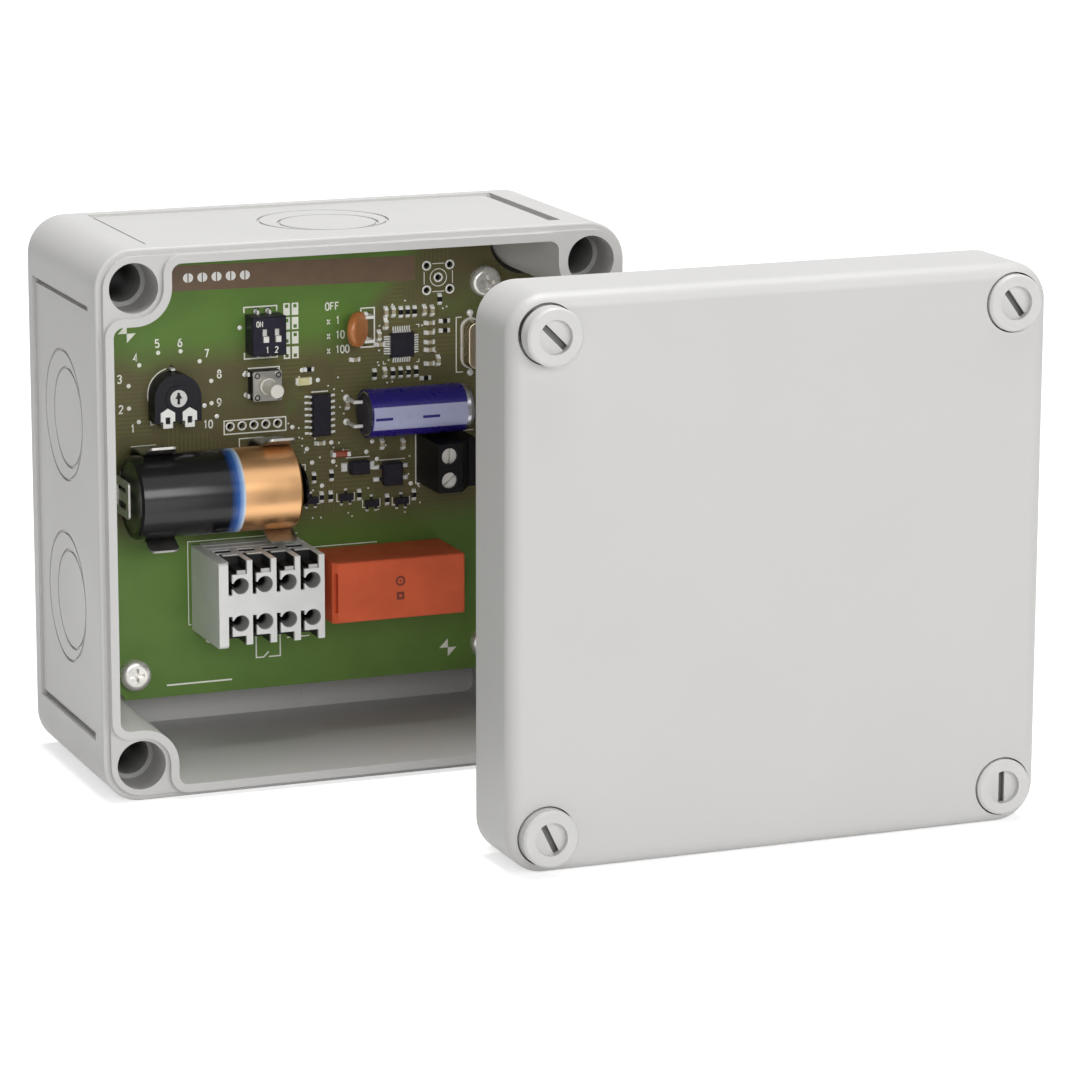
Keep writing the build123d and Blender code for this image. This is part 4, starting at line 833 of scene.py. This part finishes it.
    def switch_table(self, bm, line, w):
        """Beside the code switch: for each setting, where both sliders stand and what it multiplies by."""
        height = 1.5
        rows = ((35.1, 1, 1, ""), (32.15, 1, -1, "1"), (29.15, -1, 1, "10"), (26.1, -1, -1, "100"))
        for z, first, second, number in rows:
            for x, up in ((-4.8, first), (-3.0, second)):
                self.switch_icon(bm, x, z, up, w)
            if number:
                lettering(bm, "x", 4.2, z, height, line * 0.85, w)
                lettering(bm, number, 5.7 + len(number) * height * 0.32, z, height, line * 0.85, w)
            else:
                lettering(bm, "OFF", 5.0, z, height, line * 0.85, w)

    def switch_icon(self, bm, x, z, up, w):
        """A white tablet with a window where the slider stands."""
        half, tall, window = 0.7, 1.25, 0.36
        middle = z + up * 0.62
        patch(bm, [(x - half, z - tall), (x - window, z - tall), (x - window, z + tall), (x - half, z + tall)], w)
        patch(bm, [(x + window, z - tall), (x + half, z - tall), (x + half, z + tall), (x + window, z + tall)], w)
        for low, high in ((z - tall, middle - window), (middle + window, z + tall)):
            patch(bm, [(x - window, low), (x + window, low), (x + window, high), (x - window, high)], w)

    def marks(self, bm, line, w):
        """Fiducials, the contact symbol, the 14 mm gauge line and the aerial socket's marks."""
        for x, z in ((-38.6, 32.2), (30.0, -38.8)):
            for side in (-1, 1):
                patch(bm, [(x, z), (x, z - side * 1.9), (x + side * 1.9, z)], w)
        ribbon(bm, [(-12.1, -30.0), (-12.1, -37.2), (-10.5, -37.2), (-9.4, -36.1)], line, w)
        ribbon(bm, [(-9.4, -37.2), (-6.9, -37.2), (-6.9, -30.0)], line, w)
        ribbon(bm, [(-31.4, -41.3), (-17.4, -41.3)], line * 1.2, w)
        ribbon(bm, arc(-22.2, -32.5, 0.55, 0, 360), line * 0.8, w)
        x, z = AERIAL
        ribbon(bm, arc(x, z, 1.8, 0, 360, 24), line * 0.6, w)
        for side in (-1, 1):
            ribbon(bm, [(x + side * 3.1, z - 1.3), (x + side * 3.1, z + 1.3)], line * 0.6, w)
            ribbon(bm, [(x - 1.3, z + side * 2.9), (x + 1.3, z + side * 2.9)], line * 0.6, w)


class RELAYBOX_OT_solder(bpy.types.Operator):
    """Tinned pads, test points, rings round the holes, and solder at the leads"""

    bl_idname = "relaybox.solder"
    bl_label = "Solder"

    def execute(self, context):
        colours = context.scene.relay_box_colours
        sizes = context.scene.relay_box_sizes
        tin = reflowed_tin(colours)
        height = sizes.solder_height / MM
        self.pads(sizes, tin)
        self.lead_feet(tin, height)
        self.collars(tin, height)
        return {"FINISHED"}

    def pads(self, sizes, tin):
        """Test points, plated holes, the strip's split pads and the rings of the empty holes."""
        bm = bmesh.new()
        test_points = ((-14.8, 31.9), (-13.9, 22.2), (-13.5, 17.9), (-22.5, 16.4), (-3.8, 10.6), (-0.7, 5.8),
                       (0.4, 2.9), (5.0, 2.8), (2.5, -2.1), (12.2, 4.3), (14.5, 2.6), (21.9, -3.1), (-2.8, 2.9),
                       (30.2, 17.0), (1.8, 20.0), (4.6, 6.8), (13.5, 6.4), (-1.6, 22.3), (-19.9, 14.0))
        for x, z in test_points:
            bead(bm, x, z, 0.48, 0.08)
        for i in range(5):
            x, z = -25.6 + 3.0 * i, 42.75 - 0.02 * i
            patch(bm, arc(x + 0.12, z, 0.95, -90, 90, 10), 0.05)
            patch(bm, arc(x - 0.12, z, 0.95, 90, 270, 10), 0.05)
        for i in range(5):
            bead(bm, -17.1 + HOLE_PITCH * i, 11.65, 1.0, 0.06, hole=0.66)
        for side, up in ((0, 0), (-1, -1), (1, -1), (-1, 1), (1, 1)):
            bead(bm, AERIAL[0] + side * HOLE_PITCH, AERIAL[1] + up * HOLE_PITCH, 1.02, 0.05, hole=0.66)
        scatter = random.Random(4)
        fields = ((-4.5, -10.5, 24.0, 6.0), (14.5, 17.5, 31.0, 36.0), (-5.5, 5.0, 7.5, 21.0))
        for i in range(sizes.via_count):
            x0, z0, x1, z1 = fields[i % 3]
            bead(bm, scatter.uniform(x0, x1), scatter.uniform(z0, z1), 0.19, 0.04)
        piece("solder_pads", bm, tin, CASE)

    def lead_feet(self, tin, height):
        """Solder at the feet of the chips' leads and tabs, and the tinned ends of the small parts."""
        bm = bmesh.new()
        for chip, spread in (("microcontroller", 0.01), ("logic_chip", 0.07)):
            chip_x, chip_z = centre(chip)
            for box, _ in lumps(chip + "_leads"):
                self.foot(bm, box, (box[0] + box[2]) / 2 - chip_x, (box[1] + box[3]) / 2 - chip_z, spread)
        for (x0, z0, x1, z1), _ in lumps("transistors"):
            x, z = (x0 + x1) / 2, (z0 + z1) / 2
            for u, v in ((0, 1.525), (-0.95, -1.525), (0.95, -1.525)):
                tapered_block(bm, x + u, z + v, (0.35, 0.275), (0.13, 0.12), 0.34)
        diode_x, diode_z = centre("power_diode")
        bridge_x, bridge_z = centre("bridge_rectifier")
        for side in (-1, 1):
            tapered_block(bm, diode_x + side * 2.9, diode_z, (0.75, 0.95), (0.25, 0.15), 0.32)
            for up in (-1.27, 1.27):
                tapered_block(bm, bridge_x + side * 3.1, bridge_z + up, (0.75, 0.5), (0.25, 0.15), 0.32)
        piece("solder_feet", bm, tin, CASE, bevel=0.05)

        bm = bmesh.new()
        for name, reach in (("chip_capacitors", 0.34), ("chip_resistors", 0.30)):
            for box, top in lumps(name):
                self.end_caps(bm, box, top, reach, height)
        piece("chip_end_caps", bm, tin, CASE, bevel=0.04)

    def foot(self, bm, box, x, z, spread):
        """Solder over the outer part of a lead that stands x, z from its chip's middle."""
        x0, z0, x1, z1 = box
        out, cover, draw_in, top = 0.32, 0.45, 0.1, 0.2
        if x1 - x0 > z1 - z0:
            low, high = (x1 - cover, x1 + out) if x > 0 else (x0 - out, x0 + cover)
            block(bm, (low, z0 - spread, high, z1 + spread), (low + draw_in, z0, high - draw_in, z1), 0, top)
        else:
            low, high = (z1 - cover, z1 + out) if z > 0 else (z0 - out, z0 + cover)
            block(bm, (x0 - spread, low, x1 + spread, high), (x0, low + draw_in, x1, high - draw_in), 0, top)

    def end_caps(self, bm, box, top, reach, height):
        """Both tinned ends of a chip and the solder that climbs them."""
        x0, z0, x1, z1 = box
        proud, under, out, spread = 0.03, 0.1, 0.4, 0.08
        if x1 - x0 > z1 - z0:
            ends = (((x0 - proud, z0 - proud, x0 + reach, z1 + proud), (x0 - out, z0, x0 + under, z1)),
                    ((x1 - reach, z0 - proud, x1 + proud, z1 + proud), (x1 - under, z0, x1 + out, z1)))
        else:
            ends = (((x0 - proud, z0 - proud, x1 + proud, z0 + reach), (x0, z0 - out, x1, z0 + under)),
                    ((x0 - proud, z1 - reach, x1 + proud, z1 + proud), (x0, z1 - under, x1, z1 + out)))
        for cap, pad in ends:
            block(bm, cap, cap, 0.02, top + proud)
            inner = [(p + c) / 2 for p, c in zip(pad, cap)]
            block(bm, (pad[0] - spread, pad[1] - spread, pad[2] + spread, pad[3] + spread), inner, 0,
                  min(height, top * 0.8))

    def collars(self, tin, height):
        """Solder that wets the through-hole leads on the board's front."""
        bm = bmesh.new()
        crystal_z = centre("crystal_can")[1]
        # Each lead node with the solder's radius and its share of the height
        wetted = (("crystal_leads", 0.75, 1.3), ("capacitor_leads", 0.75, 1.3), ("fuse_leads", 0.75, 1.3),
                  ("button_legs", 0.55, 0.6), ("switch_legs", 0.55, 0.6))
        for name, radius, share in wetted:
            for (x0, z0, x1, z1), _ in lumps(name):
                # The capacitor's and the crystal's leads meet the board at one end of their length
                if name == "capacitor_leads":
                    x1 = x0 + 0.6
                if name == "crystal_leads":
                    z0, z1 = (z0, z0 + 0.5) if z0 < crystal_z else (z1 - 0.5, z1)
                bead(bm, (x0 + x1) / 2, (z0 + z1) / 2, radius, height * share)
        for name in ("battery_contact_negative", "battery_contact_positive"):
            x, z = centre(name)
            for side in (-1, 1):
                bead(bm, x, z + side * 2.8, 0.8, height)
        piece("solder_collars", bm, tin, CASE)


class RELAYBOX_OT_battery(bpy.types.Operator):
    """The battery, its sprung clips and its two contacts"""

    bl_idname = "relaybox.battery"
    bl_label = "Battery"

    def execute(self, context):
        colours = context.scene.relay_box_colours
        dress(printed_sleeve(colours), "battery_sleeve")
        # Deep drawn can, painted dark: painted shade for the dark it mirrors where it shows at the sleeve's ends
        dress(plated_steel(colours, "steel nickel plated can", 0.4, roughness=(0.34, 0.46)), "battery_cell",
              "battery_positive_cap")
        # Polypropylene, injection moulded: black, with the dull sheen of a soft plastic
        dress(black_moulding("polypropylene moulded seal", linear("1D1D1F")), "battery_seal")
        # Rolled strip: its fine lines run along the battery
        clip = plated_steel(colours, "spring steel nickel plated", 0.85, (0.15, 1.0, 1.0), (0.3, 0.42))
        dress(clip, "battery_clip_left", "battery_clip_right")
        # Hot dipped tin: whiter and duller than the plating
        contact = plated_steel(colours, "phosphor bronze tinned", 1.15, roughness=(0.42, 0.52), metallic=0.6)
        dress(contact, "battery_contact_negative")
        # Spring steel, painted almost black: painted shade for the dark it mirrors, with a hard edge highlight
        leaf = surface("spring steel near black painted shade", linear("2A2A2E"), shade=0.7, patch=3.0, roughness=(0.15, 0.25),
                       grain=0.4, depth=0.002, metallic=1.0)
        dress(leaf, "battery_contact_positive")
        return {"FINISHED"}


class RELAYBOX_OT_dial(bpy.types.Operator):
    """The time dial: body, rotor with its arrow, and terminals"""

    bl_idname = "relaybox.dial"
    bl_label = "Time Dial"

    def execute(self, context):
        colours = context.scene.relay_box_colours
        # Phenolic, compression moulded: blue-black, dry and satin
        dress(black_moulding("phenolic moulded dial", linear("1D1C22")), "trimmer_base")
        dress(reflowed_tin(colours), "trimmer_terminals")
        # Acetal, injection moulded: white, with the arrow's recess dark in the shade of its own walls
        rotor = surface("acetal moulded rotor", linear("E6E5E2"), shade=0.95, patch=2.0, roughness=(0.35, 0.45),
                        grain=0.3, depth=0.004, ior=1.48)
        tree = rotor.node_tree
        y, front = place_parts(tree)[1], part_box("trimmer_rotor")[0].y
        paint_over(rotor, step(tree, y, front + 0.0002, front + 0.0006), linear("1A1A1C"))
        dress(rotor, "trimmer_rotor")
        return {"FINISHED"}


class RELAYBOX_OT_controls(bpy.types.Operator):
    """The test button and the code switch with its lettering"""

    bl_idname = "relaybox.controls"
    bl_label = "Button and Switch"

    def execute(self, context):
        colours = context.scene.relay_box_colours
        sizes = context.scene.relay_box_sizes
        # Nylon with glass fibre, injection moulded: black and dull
        dress(black_moulding("nylon moulded base", linear("17171A")), "button_base")
        # Sheet, brushed: fine lines across that draw out each highlight
        cover = surface("stainless steel brushed", linear("B9B6B0"), shade=0.9, patch=3.0, roughness=(0.3, 0.42),
                        grain=0.2, depth=0.004, stretch=(0.1, 1.0, 1.0), metallic=1.0)
        dress(cover, "button_cover")
        # Acetal, injection moulded: a warm white plunger with a soft shine
        plunger = surface("acetal moulded plunger", linear("EFECE2"), shade=0.97, patch=3.0,
                          roughness=(0.3, 0.4), grain=0.5, depth=0.003, ior=1.48)
        dress(plunger, "test_button")
        dress(reflowed_tin(colours), "button_legs", "switch_legs")
        # Polyester, injection moulded: blue-black, with a soft sheen
        body = black_moulding("polyester moulded switch", linear("23212D"), (0.38, 0.5))
        dress(body, "switch_body")
        # Acetal, injection moulded: a clean white that stands out of the black body
        slider = surface("acetal moulded slider", linear("F2F0EA"), shade=0.96, patch=1.0, roughness=(0.35, 0.45),
                         grain=0.3, depth=0.003, ior=1.48)
        dress(slider, "switch_slider_1", "switch_slider_2")

        bm = bmesh.new()
        w = front_of("switch_body") + sizes.ink_film / MM
        switch_x, switch_z = centre("switch_body")
        lettering(bm, "ON", switch_x - 2.1, switch_z + 2.6, 1.05, 0.17, w)
        for number, x in (("1", -0.5), ("2", 1.45)):
            lettering(bm, number, switch_x + x, switch_z - 2.75, 1.15, 0.2, w)
        piece("switch_print", bm, printed_ink(colours), CASE, film=sizes.ink_film)

        # Rings of painted shade round the heads of the four rivets that hold the button's cover, in their dimples
        bm = bmesh.new()
        button_x, button_z = centre("button_cover")
        w = front_of("button_cover") + 0.03
        for x in (-2.25, 2.25):
            for z in (-2.25, 2.25):
                ribbon(bm, arc(button_x + x, button_z + z, 0.5, 0, 360), 0.24, w)
        piece("button_rivets", bm, body, CASE, film=0.05 * MM)
        return {"FINISHED"}


class RELAYBOX_OT_chips(bpy.types.Operator):
    """Chips, small two-ended parts, diodes and the indicator"""

    bl_idname = "relaybox.chips"
    bl_label = "Chips"

    def execute(self, context):
        colours = context.scene.relay_box_colours
        tin = reflowed_tin(colours)
        # Epoxy full of mineral powder, transfer moulded: charcoal and nearly matt
        epoxy = black_moulding("epoxy moulded chip", colours.chip_black, (0.4, 0.55))
        dress(epoxy, "microcontroller", "logic_chip", "power_diode", "bridge_rectifier", "transistors")
        dress(tin, "microcontroller_leads", "logic_chip_leads")
        # Barium titanate, fired: tan and matt
        ceramic = surface("ceramic fired tan", linear("B9AE90"), shade=0.85, patch=0.8, roughness=(0.4, 0.5),
                          grain=0.2, depth=0.004)
        dress(ceramic, "chip_capacitors")
        # Resistors: alumina under a black glaze
        dress(black_moulding("glass glaze black", linear("1A1A1C"), (0.2, 0.3)), "chip_resistors")
        # Thermoplastic lamp body, cast in epoxy: cream, a little yellow from the phosphor
        lamp = surface("epoxy cast lens", linear("EDE7B4"), shade=0.93, patch=1.0, roughness=(0.25, 0.35),
                       grain=0.4, depth=0.003, coat=0.4)
        dress(lamp, "indicator_led")
        # Glass, drawn over a copper-coloured junction: red-orange and clear
        glass = surface("glass drawn diode", linear("B4553A"), shade=0.7, patch=0.8, roughness=(0.05, 0.1),
                        grain=1.0, depth=0.002, coat=0.8)
        dress(glass, "signal_diode")

        bm = bmesh.new()
        low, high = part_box("signal_diode")
        z, radius = (low.z + high.z) / 2 / MM, (high.z - low.z) / 2 / MM
        for x, outward in ((low.x / MM, -1), (high.x / MM, 1)):
            tapered_block(bm, x - outward * 0.125, z, (0.375, radius + 0.05), (0, 0.3), 2 * radius + 0.09)
        x, z = centre("indicator_led")
        for side in (-1, 1):
            tapered_block(bm, x + side * 1.45, z, (0.35, 0.75), (0.1, 0.1), 0.55)
        piece("diode_caps", bm, tin, CASE, bevel=0.05)
        return {"FINISHED"}


class RELAYBOX_OT_capacitor(bpy.types.Operator):
    """The capacitor with its stripe, the crystal and the fuse"""

    bl_idname = "relaybox.capacitor"
    bl_label = "Capacitor, Crystal and Fuse"

    def execute(self, context):
        colours = context.scene.relay_box_colours
        dress(shrunk_sleeve(colours), "capacitor_sleeve")
        # Aluminium, impact extruded: pale and smooth, with a soft mirror
        aluminium = surface("aluminium impact extruded", linear("C9CAD2"), shade=0.9, patch=3.0,
                            roughness=(0.22, 0.32), grain=0.3, depth=0.003, metallic=1.0)
        dress(aluminium, "capacitor_can")
        # Butyl rubber, compression moulded: dark grey and dull
        dress(black_moulding("butyl rubber moulded", linear("343236"), (0.6, 0.75)), "capacitor_bung")
        tin = reflowed_tin(colours)
        dress(tin, "capacitor_leads", "crystal_leads", "fuse_leads", "crystal_base")
        # Nickel silver, drawn: a warm grey with lines along the draw
        can = surface("nickel silver drawn", linear("B5A78F"), shade=0.9, patch=3.0, roughness=(0.2, 0.3),
                      grain=0.25, depth=0.003, stretch=(1.0, 0.2, 1.0), metallic=1.0)
        dress(can, "crystal_can")
        # Epoxy, dipped and cured: orange brown, glossy where it pooled
        dip = surface("epoxy dipped fuse", colours.fuse, shade=0.8, patch=2.5, roughness=(0.25, 0.4), grain=1.6,
                      depth=0.03, coat=0.3)
        dress(dip, "fuse_disc")
        self.minus_signs(colours, context.scene.relay_box_sizes)
        return {"FINISHED"}

    def minus_signs(self, colours, sizes):
        """Two dark dashes on the capacitor's stripe, curved with the sleeve."""
        low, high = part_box("capacitor_sleeve")
        radius = (high.z - low.z) / 2 + sizes.ink_film
        middle = Vector((0, (low.y + high.y) / 2, (low.z + high.z) / 2))
        bm = bmesh.new()
        for x0, x1 in ((0.0107, 0.0144), (0.0209, 0.0246)):
            rows = []
            for i in range(4):
                angle = math.radians(-9 + i * 2.2)
                y, z = middle.y - radius * math.cos(angle), middle.z + radius * math.sin(angle)
                rows.append([bm.verts.new((x, y, z)) for x in (x0, x1)])
            for (a, b), (c, d) in zip(rows, rows[1:]):
                bm.faces.new((a, b, d, c))
        # Ink of the sleeve's own violet, printed flat and drier than the sleeve
        ink = surface("vinyl ink printed", colours.capacitor_violet, shade=0.85, patch=1.0, roughness=(0.35, 0.45),
                      grain=0.3, depth=0.003)
        piece("capacitor_minus", bm, ink, CASE, film=sizes.ink_film)


class RELAYBOX_OT_relay(bpy.types.Operator):
    """The relay's cover and base, and the two moulded marks on its front"""

    bl_idname = "relaybox.relay"
    bl_label = "Relay"

    def execute(self, context):
        colours = context.scene.relay_box_colours
        # Polybutylene, injection moulded: an even red with a low sheen and faint flow clouds
        cover = surface("polybutylene moulded red", colours.relay, shade=0.86, patch=7.0, roughness=(0.36, 0.46),
                        grain=0.5, depth=0.006, ior=1.55, specular=0.15)
        # The same resin in a darker batch
        base = surface("polybutylene moulded dark", [c * 0.5 for c in colours.relay], shade=0.86, patch=5.0,
                       roughness=(0.4, 0.5), grain=0.5, depth=0.006)
        dress(cover, "relay_housing")
        dress(base, "relay_base")
        dress(reflowed_tin(colours), "relay_pins")
        bm = bmesh.new()
        w = front_of("relay_housing") + 0.06
        x, z = 13.85, -19.7
        ribbon(bm, arc(x, z, 0.85, 0, 360, 24), 0.4, w)
        dot(bm, x, z, 0.22, w)
        box_line(bm, x - 0.55, z - 3.65, x + 0.55, z - 2.55, 0.5, w)
        # The marks' fine texture, painted dark: painted shade of their shallow recesses
        mark = surface("polybutylene moulded mark", [c * 0.25 for c in colours.relay], shade=0.9, patch=2.0,
                       roughness=(0.4, 0.5), grain=0.4, depth=0.004)
        piece("relay_marks", bm, mark, CASE, film=0.1 * MM)
        return {"FINISHED"}


class RELAYBOX_OT_terminals(bpy.types.Operator):
    """The spring terminal for the wires and the black screw terminal"""

    bl_idname = "relaybox.terminals"
    bl_label = "Terminals"

    def execute(self, context):
        colours = context.scene.relay_box_colours
        dress(moulded_terminal(colours), "wire_terminal_housing")
        # The housing's resin, a little glossier on the flat plate
        plate = surface("polyamide moulded plate", colours.terminal, shade=0.94, patch=4.0,
                        roughness=(0.38, 0.48), grain=0.4, depth=0.006, ior=1.53)
        dress(plate, "wire_terminal_end_plate")
        tin = reflowed_tin(colours)
        dress(tin, "wire_terminal_pins", "screw_terminal_pins", "screw_terminal_clamps")
        # Spring steel, painted dark grey: painted shade down in the funnels
        dress(plated_steel(colours, "spring steel dark grey painted shade", 0.45), "wire_terminal_clamps")
        # Polyamide, filled black: deep and dull, so that the screws stand out
        housing = surface("polyamide moulded black", linear("0B0B0C"), shade=1.4, patch=4.0,
                          roughness=(0.42, 0.52), grain=0.4, depth=0.006, specular=0.22)
        dress(housing, "screw_terminal_housing")
        # Zinc, barrel plated: nearly white and fine-grained
        screw = plated_steel(colours, "steel zinc plated terminal screw", 1.5, roughness=(0.34, 0.44),
                             metallic=0.35)
        dress(screw, "screw_terminal_screw_1", "screw_terminal_screw_2")
        return {"FINISHED"}


OPERATORS = (
    RELAYBOX_OT_stage,
    RELAYBOX_OT_housing,
    RELAYBOX_OT_board,
    RELAYBOX_OT_solder,
    RELAYBOX_OT_battery,
    RELAYBOX_OT_dial,
    RELAYBOX_OT_controls,
    RELAYBOX_OT_chips,
    RELAYBOX_OT_capacitor,
    RELAYBOX_OT_relay,
    RELAYBOX_OT_terminals,
)


class RELAYBOX_PT_sidebar(bpy.types.Panel):
    """Lists the steps that dress the relay box, and the colours and sizes that they use"""

    bl_idname = "RELAYBOX_PT_sidebar"
    bl_label = "Relay Box"
    bl_space_type = "VIEW_3D"
    bl_region_type = "UI"
    bl_category = "Relay Box"

    def draw(self, context):
        layout = self.layout
        for operator in OPERATORS:
            layout.operator(operator.bl_idname)
        for group in (context.scene.relay_box_colours, context.scene.relay_box_sizes,
                      context.scene.relay_box_stage):
            box = layout.box()
            for name in group.bl_rna.properties.keys():
                if name not in ("rna_type", "name"):
                    box.prop(group, name)


CLASSES = (RelayBoxColours, RelayBoxSizes, RelayBoxStage, *OPERATORS, RELAYBOX_PT_sidebar)


def register():
    for cls in CLASSES:
        bpy.utils.register_class(cls)
    bpy.types.Scene.relay_box_colours = PointerProperty(type=RelayBoxColours)
    bpy.types.Scene.relay_box_sizes = PointerProperty(type=RelayBoxSizes)
    bpy.types.Scene.relay_box_stage = PointerProperty(type=RelayBoxStage)


def unregister():
    del bpy.types.Scene.relay_box_stage
    del bpy.types.Scene.relay_box_sizes
    del bpy.types.Scene.relay_box_colours
    for cls in reversed(CLASSES):
        bpy.utils.unregister_class(cls)


def main():
    register()
    bpy.ops.relaybox.stage()
    bpy.ops.relaybox.housing()
    bpy.ops.relaybox.board()
    bpy.ops.relaybox.solder()
    bpy.ops.relaybox.battery()
    bpy.ops.relaybox.dial()
    bpy.ops.relaybox.controls()
    bpy.ops.relaybox.chips()
    bpy.ops.relaybox.capacitor()
    bpy.ops.relaybox.relay()
    bpy.ops.relaybox.terminals()


if __name__ == "__main__":
    main()
